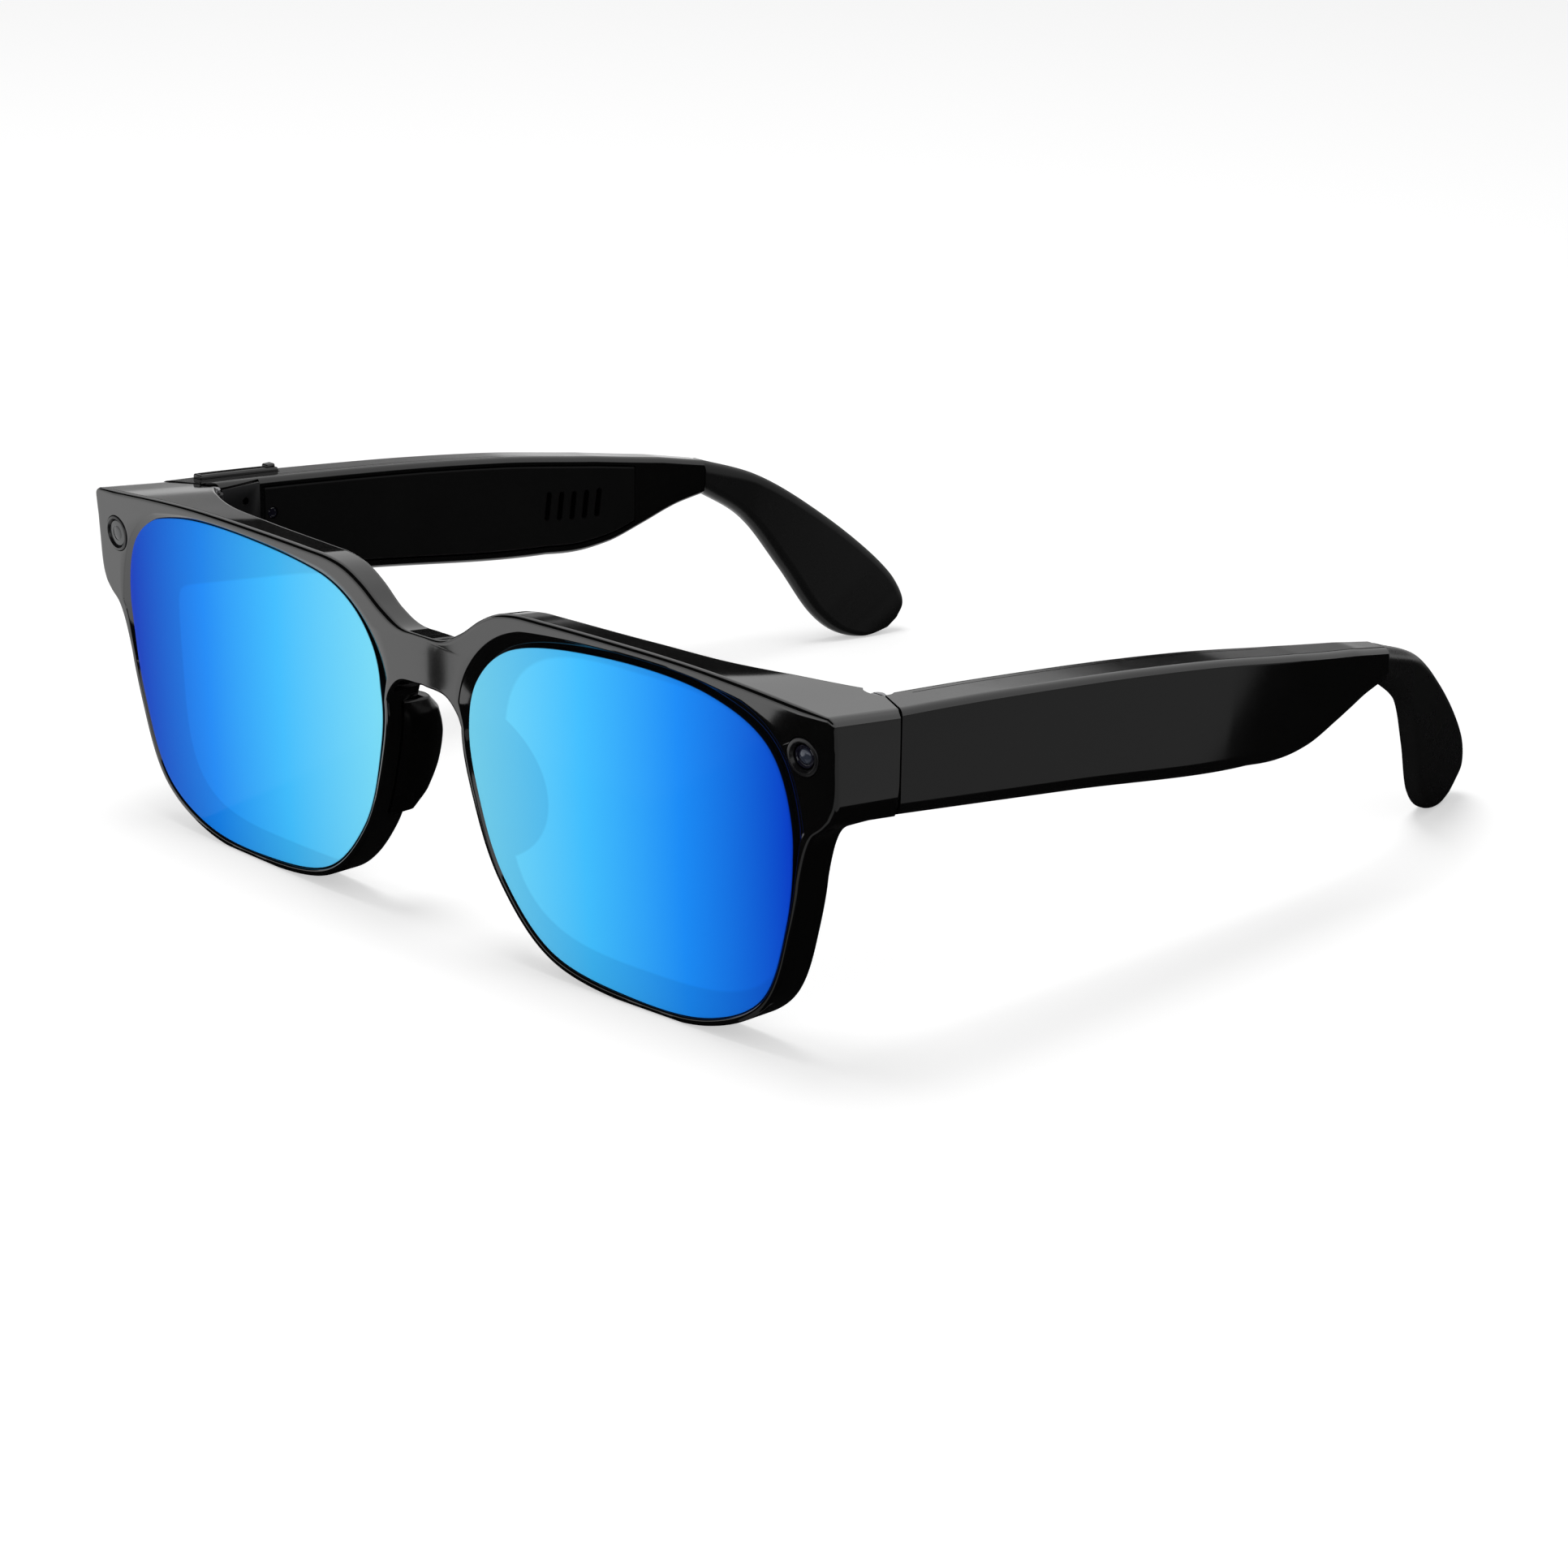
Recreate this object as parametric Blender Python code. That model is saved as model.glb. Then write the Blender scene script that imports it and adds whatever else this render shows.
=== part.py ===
import math

import bmesh
import bpy
from mathutils import Matrix, Vector

# Smart glasses: a moulded front with two mirrored lenses, two electronics temples on barrel hinges and two ear tips.
# +X is the wearer's left, the face looks along -Y and the object stands on Z = 0 on its rims and ear tips.

MM = 0.001

# Sizes of the face
LENS_HALF_WIDTH = 29.0 * MM
LENS_HALF_HEIGHT = 23.0 * MM
NOSE_HALF_GAP = 8.85 * MM
END_WIDTH = 7.45 * MM
FACE_Y = -73.81 * MM
FACE_WRAP_RADIUS = 890.0 * MM
FACE_TILT = 0.056
RIM_WIDTH = 1.5 * MM
RIM_FOOT = 0.14 * MM
RIM_DEPTH = 5.6 * MM
BRIDGE_DEPTH = 4.4 * MM
RIM_EDGE = 0.45 * MM
BROW_EDGE = 0.8 * MM
BROW_RISE = 2.5 * MM
BRIDGE_RISE = 11.14 * MM
BRIDGE_HEIGHT = 7.1 * MM
LENS_BEVEL_WIDTH = 2.0 * MM
LENS_BEVEL_DEPTH = 0.9 * MM
GROOVE_FRONT = 1.3 * MM
GROOVE_DEPTH = 0.7 * MM
LENS_THICKNESS = 2.0 * MM
LENS_BULGE = 0.7 * MM
END_HEIGHT = 14.2 * MM
END_DROP = 2.1 * MM
TOP_SLOPE = 0.115
END_STEP = 1.0 * MM

# Sizes of the hinges
HINGE_INSET = 7.5 * MM
HINGE_SETBACK = 16.05 * MM
HINGE_DROP = 8.46 * MM
KNUCKLE_RADIUS = 1.45 * MM
KNUCKLE_HEIGHT = 2.2 * MM
PIN_RADIUS = 0.6 * MM
LEAF_THICKNESS = 1.1 * MM
LEAF_LENGTH = 7.0 * MM
BUTT_SLOPE = 0.5

# Sizes of the temples
TEMPLE_PROUD = 0.1 * MM
TEMPLE_THICKNESS = 6.8 * MM
TEMPLE_HEIGHT = 14.0 * MM
NECK_THICKNESS = 4.6 * MM
TEMPLE_LENGTH = 98.2 * MM
TEMPLE_WALL = 1.3 * MM
COVER_THICKNESS = 1.0 * MM
BAY_FRONT = 10.0 * MM
BAY_END = 14.2 * MM
TIP_LENGTH = 36.0 * MM
TIP_INWARD = 16.0 * MM
TIP_THICKNESS = 3.6 * MM
TIP_LEAN = 0.18
CORE_WIDTH = 1.2 * MM
CORE_HEIGHT = 2.2 * MM
CORE_SINK = 9.7 * MM

# Sizes of the camera, the light and the buttons
MODULE_INSET = 5.1 * MM
MODULE_DROP = 5.96 * MM
BEZEL_RADIUS = 2.55 * MM
WINDOW_RADIUS = 1.5 * MM
BUTTON_LENGTH = 14.4 * MM
BUTTON_WIDTH = 1.9 * MM
BUTTON_RISE = 0.6 * MM
BUTTON_TRAVEL = 0.4 * MM
SLIDER_TRAVEL = 2.0 * MM

# Clearances
GAP = 0.25 * MM
PIN_GAP = 0.12 * MM
SWING_GAP = 0.5 * MM

LENS_CENTRE_X = NOSE_HALF_GAP + LENS_HALF_WIDTH
LENS_CENTRE_Z = RIM_WIDTH + LENS_HALF_HEIGHT - RIM_FOOT
LENS_TOP = LENS_CENTRE_Z + LENS_HALF_HEIGHT
HALF_WIDTH = LENS_CENTRE_X + LENS_HALF_WIDTH + END_WIDTH
BRIDGE_UNDERSIDE = LENS_CENTRE_Z + BRIDGE_RISE
BROW_TOP = LENS_TOP + BROW_RISE
END_TOP = BROW_TOP - END_DROP
END_LOW = END_TOP - END_HEIGHT
HINGE_X = HALF_WIDTH - HINGE_INSET
HINGE_Y = FACE_Y + HINGE_SETBACK
HINGE_Z = END_TOP - HINGE_DROP
TEMPLE_OUTER_X = HALF_WIDTH + TEMPLE_PROUD
BAY_REAR = TEMPLE_LENGTH - BAY_END
MODULE_X = HALF_WIDTH - MODULE_INSET
MODULE_Z = END_TOP - MODULE_DROP
GROOVE_REAR = GROOVE_FRONT + LENS_THICKNESS + 2 * GAP
END_DEPTH = HINGE_SETBACK + 3 * MM
FLAT = Matrix.Identity(4)

# Lens outline as fractions of its half width and half height, from the nose upwards and round
LENS_OUTLINE = [
    (-1.0, 0.30),
    (-0.93, 0.62),
    (-0.70, 0.87),
    (-0.10, 1.0),
    (0.55, 0.96),
    (0.87, 0.77),
    (1.0, 0.33),
    (0.93, -0.30),
    (0.77, -0.76),
    (0.46, -0.96),
    (0.0, -1.0),
    (-0.50, -0.90),
    (-0.80, -0.54),
    (-0.95, -0.08),
]

COLOURS = {
    "gloss_black": ((0.008, 0.008, 0.009), 0.16, 0.0),
    "mirror_blue": ((0.06, 0.42, 0.95), 0.05, 0.9),
    "soft_black": ((0.015, 0.015, 0.016), 0.45, 0.0),
    "dark_ring": ((0.05, 0.05, 0.055), 0.3, 0.6),
    "camera_glass": ((0.03, 0.03, 0.05), 0.03, 0.0),
    "light_window": ((0.12, 0.12, 0.12), 0.15, 0.0),
    "black_barrel": ((0.02, 0.02, 0.02), 0.5, 0.0),
    "hinge_steel": ((0.55, 0.55, 0.56), 0.3, 1.0),
    "board_green": ((0.02, 0.12, 0.05), 0.5, 0.0),
    "cell_silver": ((0.6, 0.6, 0.62), 0.4, 0.6),
    "speaker_black": ((0.03, 0.03, 0.03), 0.6, 0.0),
    "contact_gold": ((0.85, 0.62, 0.25), 0.25, 1.0),
}


# Helpers

def material(name):
    found = bpy.data.materials.get(name)
    if found:
        return found
    colour, roughness, metallic = COLOURS[name]
    made = bpy.data.materials.new(name)
    made.use_nodes = True
    shader = made.node_tree.nodes["Principled BSDF"]
    shader.inputs["Base Color"].default_value = (*colour, 1.0)
    shader.inputs["Roughness"].default_value = roughness
    shader.inputs["Metallic"].default_value = metallic
    made.diffuse_color = (*colour, 1.0)
    return made


def keep(name, shape, slot, parent=None, matrix=FLAT):
    bmesh.ops.recalc_face_normals(shape, faces=shape.faces)
    mesh = bpy.data.meshes.new(name)
    shape.to_mesh(mesh)
    shape.free()
    made = bpy.data.objects.new(name, mesh)
    bpy.context.scene.collection.objects.link(made)
    if slot:
        mesh.materials.append(material(slot))
    else:
        made.hide_render = True
        made.display_type = "WIRE"
    made.parent = parent
    made.matrix_local = matrix
    return made


def combine(target, other, operation):
    other.hide_render = True
    other.display_type = "WIRE"
    step = target.modifiers.new(other.name, "BOOLEAN")
    step.operation = operation
    step.solver = "EXACT"
    step.object = other


def curve_point(points, t, closed):
    count = len(points)
    step = int(math.floor(t))
    if not closed:
        step = max(0, min(step, count - 2))
    part = t - step

    def at(index):
        if closed:
            return Vector(points[index % count])
        if index < 0:
            return 2 * Vector(points[0]) - Vector(points[1])
        if index >= count:
            return 2 * Vector(points[-1]) - Vector(points[-2])
        return Vector(points[index])

    before, start, end, after = (at(step + offset) for offset in (-1, 0, 1, 2))
    d0 = max((start - before).length, 1e-9) ** 0.5
    d1 = max((end - start).length, 1e-9) ** 0.5
    d2 = max((after - end).length, 1e-9) ** 0.5
    m1 = (end - start) + d1 * ((start - before) / d0 - (end - before) / (d0 + d1))
    m2 = (end - start) + d1 * ((after - end) / d2 - (after - start) / (d1 + d2))
    f2, f3 = part * part, part ** 3
    return (
        (2 * f3 - 3 * f2 + 1) * start
        + (f3 - 2 * f2 + part) * m1
        + (3 * f2 - 2 * f3) * end
        + (f3 - f2) * m2
    )


def resample(points, count):
    fine = [curve_point(points, i / 24, False) for i in range(24 * (len(points) - 1) + 1)]
    reach = [0.0]
    for before, after in zip(fine, fine[1:]):
        reach.append(reach[-1] + (after - before).length)
    made = []
    k = 0
    for i in range(count):
        want = reach[-1] * i / (count - 1)
        while k < len(reach) - 2 and reach[k + 1] < want:
            k += 1
        share = (want - reach[k]) / max(reach[k + 1] - reach[k], 1e-12)
        made.append(fine[k].lerp(fine[k + 1], min(1.0, share)))
    return made


def along(points, want):
    for (a, va), (b, vb) in zip(points, points[1:]):
        if want <= b:
            break
    k = points.index((a, va))
    share = (want - a) / (b - a)
    return curve_point([(p, v) for p, v in points], k + share, False)[1]


def loft(rings, caps=True):
    shape = bmesh.new()
    made = [[shape.verts.new(point) for point in ring] for ring in rings]
    for before, after in zip(made, made[1:]):
        for i in range(len(before)):
            j = (i + 1) % len(before)
            shape.faces.new((before[i], before[j], after[j], after[i]))
    if caps:
        shape.faces.new(made[0])
        shape.faces.new(list(reversed(made[-1])))
    return shape


def rounded(low, high, outer_x, inner_x, radii, side, segments=3, lean=0.0):
    """Ring with rounded corners from low to high in Y and Z and from outer_x to inner_x; lean moves its low end out."""
    low, high = Vector(low), Vector(high)
    up = (high - low).normalized()
    height = (high - low).length
    width = outer_x - inner_x
    corners = ((width, height, 0), (0, height, 90), (0, 0, 180), (width, 0, 270))
    ring = []
    for (x, z, start), radius in zip(corners, radii):
        radius = min(radius, 0.48 * height, 0.48 * width)
        cx = x - radius if x else radius
        cz = z - radius if z else radius
        for k in range(segments + 1):
            angle = math.radians(start + 90 * k / segments)
            level = cz + radius * math.sin(angle)
            px = inner_x + cx + radius * math.cos(angle) + lean * (1 - level / height)
            place = low + up * level
            ring.append(Vector((side * px, place.x, place.y)))
    return ring


def box(size, edge=0.0, centre=(0, 0, 0)):
    shape = bmesh.new()
    bmesh.ops.create_cube(shape, size=1.0)
    bmesh.ops.scale(shape, vec=Vector(size), verts=shape.verts)
    if edge:
        bmesh.ops.bevel(
            shape, geom=shape.edges[:], offset=edge, segments=2, profile=0.5, affect="EDGES"
        )
    bmesh.ops.translate(shape, vec=Vector(centre), verts=shape.verts)
    return shape


def rod(radius, length, segments=20, centre=(0, 0, 0)):
    shape = bmesh.new()
    bmesh.ops.create_cone(
        shape, cap_ends=True, segments=segments, radius1=radius, radius2=radius, depth=length
    )
    bmesh.ops.translate(shape, vec=Vector(centre), verts=shape.verts)
    return shape


def lathe(profile, segments=24):
    """Closed profile of (radius, height) turned round Z; a first and last radius of 0 make a solid of it."""
    shape = bmesh.new()
    solid = profile[0][0] == 0
    inner = profile[1:-1] if solid else profile
    rings = []
    for radius, height in inner:
        ring = []
        for k in range(segments):
            angle = 2 * math.pi * k / segments
            ring.append(
                shape.verts.new((radius * math.cos(angle), radius * math.sin(angle), height))
            )
        rings.append(ring)
    if not solid:
        rings.append(rings[0])
    for before, after in zip(rings, rings[1:]):
        for i in range(segments):
            j = (i + 1) % segments
            shape.faces.new((before[i], before[j], after[j], after[i]))
    if solid:
        shape.faces.new(rings[0])
        shape.faces.new(rings[-1])
    return shape


def prism(outline, low, high):
    rings = [[Vector((x, y, z)) for x, y in outline] for z in (low, high)]
    return loft(rings)


# Clear the scene

for old in list(bpy.data.objects):
    bpy.data.objects.remove(old, do_unlink=True)


# Shape of the face

def face_y(x, z):
    return FACE_Y + x * x / (2 * FACE_WRAP_RADIUS) - FACE_TILT * (z - LENS_CENTRE_Z + LENS_HALF_HEIGHT)


def face_matrix(x, z, depth=0.0):
    """Frame on the face whose Z axis points out to the front."""
    normal = Vector((x / FACE_WRAP_RADIUS, -1.0, -FACE_TILT)).normalized()
    across = Vector((1, 0, 0))
    up = normal.cross(across).normalized()
    across = up.cross(normal).normalized()
    turn = Matrix((across, up, normal)).transposed().to_4x4()
    return Matrix.Translation(Vector((x, face_y(x, z), z)) - normal * depth) @ turn


def lens_point(t):
    u, v = curve_point(LENS_OUTLINE, t, True)
    return Vector((LENS_CENTRE_X + u * LENS_HALF_WIDTH, LENS_CENTRE_Z + v * LENS_HALF_HEIGHT))


def lens_normal(t):
    run = lens_point(t + 0.02) - lens_point(t - 0.02)
    return Vector((-run.y, run.x)).normalized()


def rim_point(t):
    """Edge of the rim, cut off level at the floor so that it stands on a flat foot."""
    point = lens_point(t) + lens_normal(t) * RIM_WIDTH
    return Vector((point.x, max(point.y, 0.0)))


# Front edge of the frame: bridge, brow, end, notch and rim

RIM_START = 6.6
bridge_top = BRIDGE_UNDERSIDE + BRIDGE_HEIGHT
arch = [
    rim_point(0),
    (0.757 * NOSE_HALF_GAP, BRIDGE_UNDERSIDE - 0.233 * BRIDGE_RISE),
    (0.52 * NOSE_HALF_GAP, BRIDGE_UNDERSIDE - 0.054 * BRIDGE_RISE),
    (0, BRIDGE_UNDERSIDE),
]
brow_lift = BROW_TOP - bridge_top
brow = [
    (0, bridge_top),
    (0.055 * HALF_WIDTH, bridge_top + 0.028 * brow_lift),
    (0.108 * HALF_WIDTH, bridge_top + 0.235 * brow_lift),
    (0.167 * HALF_WIDTH, bridge_top + 0.58 * brow_lift),
    (0.233 * HALF_WIDTH, bridge_top + 0.814 * brow_lift),
    (0.33 * HALF_WIDTH, bridge_top + 0.959 * brow_lift),
    (0.49 * HALF_WIDTH, BROW_TOP),
    (0.66 * HALF_WIDTH, BROW_TOP - 0.07 * END_DROP),
    (0.79 * HALF_WIDTH, BROW_TOP - 0.357 * END_DROP),
    (0.92 * HALF_WIDTH, BROW_TOP - 0.786 * END_DROP),
    (HALF_WIDTH - 0.134 * END_WIDTH, END_TOP),
]
side = [
    (HALF_WIDTH - 0.134 * END_WIDTH, END_TOP),
    (HALF_WIDTH - 0.02 * END_WIDTH, END_TOP - 0.042 * END_HEIGHT),
    (HALF_WIDTH, END_TOP - 0.141 * END_HEIGHT),
    (HALF_WIDTH, END_TOP - 0.48 * END_HEIGHT),
    (HALF_WIDTH - 0.067 * END_WIDTH, END_LOW + 0.141 * END_HEIGHT),
    (HALF_WIDTH - 0.174 * END_WIDTH, END_LOW),
]
notch = [
    (HALF_WIDTH - 0.174 * END_WIDTH, END_LOW),
    (HALF_WIDTH - 0.322 * END_WIDTH, END_LOW - 0.077 * END_HEIGHT),
    (HALF_WIDTH - 0.523 * END_WIDTH, END_LOW - 0.162 * END_HEIGHT),
    (HALF_WIDTH - 0.671 * END_WIDTH, END_LOW - 0.303 * END_HEIGHT),
    rim_point(RIM_START - 0.12),
    rim_point(RIM_START),
]
bridge = [(0, BRIDGE_UNDERSIDE), (0, BRIDGE_UNDERSIDE + BRIDGE_HEIGHT / 2), (0, bridge_top)]

EDGE_RUNS = [
    ("arch", resample(arch, 7), 0.0, 0.4),
    ("bridge", resample(bridge, 4), 0.4, 1.0),
    ("brow", resample(brow, 21), 1.0, 5.25),
    ("side", resample(side, 9), 5.25, 6.05),
    ("notch", resample(notch, 7), 6.05, RIM_START),
]


def frame_stations():
    """Pairs of a lens point and an edge point all round one half of the front."""
    made = []
    for kind, points, start, end in EDGE_RUNS:
        for i, point in enumerate(points[:-1]):
            t = start + (end - start) * i / (len(points) - 1)
            made.append((kind if i else kind + "_start", t, Vector(point)))
    count = 32
    for i in range(count):
        t = RIM_START + (len(LENS_OUTLINE) - RIM_START) * i / count
        made.append(("rim", t, rim_point(t)))
    return made


def frame_half():
    stations = frame_stations()
    count = len(stations)
    rings = []
    for i, (kind, t, edge) in enumerate(stations):
        glass = lens_point(t)
        out = lens_normal(t)
        run = stations[(i + 1) % count][2] - stations[i - 1][2]
        normal = Vector((-run.y, run.x)).normalized()
        inside_bridge = kind == "bridge"
        if kind == "bridge_start":
            normal = Vector((0, -1))
        if kind == "brow_start":
            normal = Vector((0, 1))
        upper = kind in ("brow", "brow_start", "side", "side_start", "notch_start")
        drop = TOP_SLOPE if upper else 0.0
        round_edge = BROW_EDGE if upper else RIM_EDGE
        inward = 1.0
        if kind.startswith(("arch", "bridge")):
            inward = min(1.0, edge.x / (0.79 * NOSE_HALF_GAP))
        elif upper:
            inward = max(0.0, min(1.0, (edge.x / NOSE_HALF_GAP - 0.904) / 1.356))
        depth = BRIDGE_DEPTH + (RIM_DEPTH - BRIDGE_DEPTH) * inward
        end_share = 0.0
        if kind in ("side", "side_start", "notch_start"):
            end_share = 1.0
        elif upper:
            end_share = max(0.0, min(1.0, (edge.x / HALF_WIDTH - 0.27) / 0.54)) ** 3
        depth += (END_DEPTH - depth) * end_share
        width = (edge - glass).length
        bevel = min(LENS_BEVEL_WIDTH, 0.45 * width)
        middle = glass.lerp(edge, 0.5)
        middle = middle.lerp(glass + out * 1.73 * RIM_WIDTH, end_share)
        middle_depth = RIM_DEPTH + (depth - RIM_DEPTH) * (0.5 + 0.5 * end_share)
        if inside_bridge:
            edge_run = [(edge, 0.0), (edge, 0.2 * depth), (edge, 0.4 * depth)]
            edge_run += [(edge, 0.6 * depth), (edge, 0.8 * depth), (edge, depth)]
        else:
            edge_run = [
                (edge - normal * round_edge, 0.0),
                (edge - normal * 0.3 * round_edge, 0.3 * round_edge),
                (edge, round_edge),
                (edge, depth - round_edge),
                (edge - normal * 0.3 * round_edge, depth - 0.3 * round_edge),
                (edge - normal * round_edge, depth),
            ]
        section = [(glass, LENS_BEVEL_DEPTH, 0.0), (glass + out * bevel, 0.1 * MM, 0.0)]
        section += [(place, d, drop) for place, d in edge_run]
        section += [
            (middle, middle_depth, 0.5 * drop),
            (glass + out * 0.4 * MM, RIM_DEPTH, 0.0),
            (glass, RIM_DEPTH - 0.4 * MM, 0.0),
            (glass, GROOVE_REAR, 0.0),
            (glass + out * GROOVE_DEPTH, GROOVE_REAR, 0.0),
            (glass + out * GROOVE_DEPTH, GROOVE_FRONT, 0.0),
            (glass, GROOVE_FRONT, 0.0),
        ]
        ring = []
        for place, d, fall in section:
            y = face_y(place.x, place.y) + d
            ring.append(Vector((place.x, y, place.y - fall * d)))
        rings.append(ring)
    return rings


def ring_faces(shape, rings, sign):
    made = [[shape.verts.new((sign * p.x, p.y, p.z)) for p in ring] for ring in rings]
    count = len(made)
    for i in range(count):
        before, after = made[i], made[(i + 1) % count]
        for k in range(len(before)):
            j = (k + 1) % len(before)
            face = (before[k], before[j], after[j], after[k])
            if all(abs(v.co.x) < 1e-7 for v in face):
                continue
            shape.faces.new(face)


def build_front():
    shape = bmesh.new()
    rings = frame_half()
    ring_faces(shape, rings, 1)
    ring_faces(shape, rings, -1)
    seam = [v for v in shape.verts if abs(v.co.x) < 1e-7]
    bmesh.ops.remove_doubles(shape, verts=seam, dist=1e-6)
    loose = [v for v in shape.verts if not v.link_faces]
    bmesh.ops.delete(shape, geom=loose, context="VERTS")
    return keep("front_frame", shape, "gloss_black")


front = build_front()


# Lenses

def build_lens(side_sign, label):
    count = 44
    shares = (1.0, 0.8, 0.5, 0.22)
    fronts, backs = [], []
    for share in shares:
        front_ring, back_ring = [], []
        for i in range(count):
            t = len(LENS_OUTLINE) * i / count
            rim = lens_point(t) + lens_normal(t) * (GROOVE_DEPTH - GAP)
            centre = Vector((LENS_CENTRE_X, LENS_CENTRE_Z))
            place = centre.lerp(rim, share)
            bulge = LENS_BULGE * (1 - share * share)
            y = face_y(place.x, place.y) + GROOVE_FRONT + GAP - bulge
            front_ring.append(Vector((side_sign * place.x, y, place.y)))
            back_ring.append(Vector((side_sign * place.x, y + LENS_THICKNESS, place.y)))
        fronts.append(front_ring)
        backs.append(back_ring)
    shape = loft(list(reversed(fronts)) + backs)
    return keep("lens_" + label, shape, "mirror_blue")


# Nose pads

def rim_nose_x(z):
    """Nose side of the rim at this height."""
    best = min(
        (abs(rim_point(t).y - z), rim_point(t).x)
        for t in [len(LENS_OUTLINE) - 3.2 + 0.02 * k for k in range(170)]
    )
    return best[1]


PAD_TOP = LENS_CENTRE_Z + 0.289 * LENS_HALF_HEIGHT
PAD_LOW = LENS_CENTRE_Z - 0.472 * LENS_HALF_HEIGHT
PAD_REACH = 5.0 * MM
PAD_SHAPE = [(0.0, 0.35), (0.12, 0.75), (0.35, 1.0), (0.6, 1.0), (0.85, 0.75), (1.0, 0.3)]


def build_pad(sign, label):
    rings = []
    for share, swell in PAD_SHAPE:
        z = PAD_TOP + (PAD_LOW - PAD_TOP) * share
        x = rim_nose_x(z)
        back = face_y(x, z) + RIM_DEPTH + GAP
        lip = face_y(x, z) + 0.45 * RIM_DEPTH
        near = x - GAP * 1.1
        outline = [
            (near, lip),
            (near - 0.7 * MM * swell, lip + 1.1 * MM),
            (near - 1.2 * MM * swell, back + 0.6 * MM),
            (near - 0.6 * MM * swell, back + 0.55 * PAD_REACH * swell),
            (near + 0.7 * MM, back + 0.9 * PAD_REACH * swell),
            (near + 2.0 * MM, back + PAD_REACH * swell),
            (near + 3.1 * MM, back + 0.75 * PAD_REACH * swell),
            (near + 3.4 * MM, back + 0.3 * PAD_REACH * swell),
            (near + 3.0 * MM, back),
            (near, back),
        ]
        rings.append([Vector((sign * px, py, z)) for px, py in outline])
    return keep("nose_pad_" + label, loft(rings), "soft_black")


# Front leaf, temple leaf and pin of a hinge

def knuckles():
    """Middle heights of the knuckles from the bottom up."""
    pitch = KNUCKLE_HEIGHT + GAP
    return [(k - 2) * pitch for k in range(5)]


def knuckle(z):
    low, high = z - KNUCKLE_HEIGHT / 2, z + KNUCKLE_HEIGHT / 2
    bore = PIN_RADIUS + PIN_GAP
    return lathe(
        [(KNUCKLE_RADIUS, low), (KNUCKLE_RADIUS, high), (bore, high), (bore, low)], segments=20
    )


STACK = 5 * KNUCKLE_HEIGHT + 4 * GAP
LEAF_OFFSET = 0.55 * KNUCKLE_RADIUS + LEAF_THICKNESS / 2 - 0.3 * MM


def build_leaf(name, heights, direction, middle_x, parent, sign):
    start = KNUCKLE_RADIUS + SWING_GAP
    plate = keep(
        name,
        box(
            (LEAF_THICKNESS, LEAF_LENGTH, STACK),
            0.0,
            (sign * middle_x, direction * (start + LEAF_LENGTH / 2), 0),
        ),
        "hinge_steel",
        parent,
    )
    for k, z in enumerate(heights):
        reach = start + 0.5 * MM
        inner = 0.75 * KNUCKLE_RADIUS
        tab = box(
            (LEAF_THICKNESS, reach - inner, KNUCKLE_HEIGHT),
            0.0,
            (sign * middle_x, direction * (reach + inner) / 2, z),
        )
        combine(plate, keep(f"{name}_tab_{k}", tab, None, parent), "UNION")
        combine(plate, keep(f"{name}_barrel_{k}", knuckle(z), None, parent), "UNION")
    return plate


def butt_line(x):
    """Where the end of the front and the temple meet, behind the hinge axis, at this distance outside it."""
    return -BUTT_SLOPE * max(0.0, x - 0.7 * MM)


# Temple outline: share of the temple's length behind the hinge axis, and share of its height over that axis

TEMPLE_TOP = [
    (-0.0611, 0.5464),
    (0.0743, 0.4714),
    (0.2444, 0.3571),
    (0.4175, 0.2250),
    (0.5906, 0.0643),
    (0.7739, -0.1500),
    (0.9165, -0.3286),
    (1.0183, -0.4786),
]
TEMPLE_LOW = [
    (-0.0611, -0.4786),
    (0.3055, -0.8143),
    (0.6721, -1.1571),
    (0.7434, -1.2071),
    (0.8045, -1.1786),
    (0.8758, -1.0500),
    (0.9470, -0.9071),
    (1.0183, -0.8286),
]

# Outer side and thickness along the temple, as shares of its thickness

TEMPLE_OUTER = [
    (-0.0611, 0.0000),
    (0.6110, 0.0074),
    (0.7739, -0.0735),
    (0.9165, -0.2794),
    (1.0183, -0.5000),
]
TEMPLE_RUN = [
    (-0.0611, 1.0),
    (0.5601, 0.956),
    (0.8147, 0.853),
    (1.0183, NECK_THICKNESS / TEMPLE_THICKNESS),
]
SLOPE = math.atan2(
    (TEMPLE_LOW[1][1] - TEMPLE_LOW[2][1]) * TEMPLE_HEIGHT,
    (TEMPLE_LOW[2][0] - TEMPLE_LOW[1][0]) * TEMPLE_LENGTH,
)


def temple_x(y):
    """Outer and inner side of a temple at this distance behind the axis, measured out from the axis."""
    share = y / TEMPLE_LENGTH
    outer = TEMPLE_OUTER_X - HINGE_X + along(TEMPLE_OUTER, share) * TEMPLE_THICKNESS
    return outer, outer - along(TEMPLE_RUN, share) * TEMPLE_THICKNESS


def temple_z(y):
    share = y / TEMPLE_LENGTH
    return along(TEMPLE_LOW, share) * TEMPLE_HEIGHT, along(TEMPLE_TOP, share) * TEMPLE_HEIGHT


def spread(start, end, count):
    return [start + (end - start) * i / (count - 1) for i in range(count)]


TEMPLE_STEPS = [-0.0611, 0.0407, 0.1629, 0.2851, 0.4073, 0.5295, 0.6517]
TEMPLE_STEPS += [0.7128, 0.7637, 0.8147, 0.8656, 0.9165, 0.9623, 1.0]


def temple_ring(y, side_sign):
    low, high = temple_z(y)
    outer, inner = temple_x(y)
    radii = (1.1 * MM, 0.9 * MM, 0.9 * MM, 2.2 * MM)
    return rounded((y, low), (y, high), outer, inner, radii, side_sign)


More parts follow.
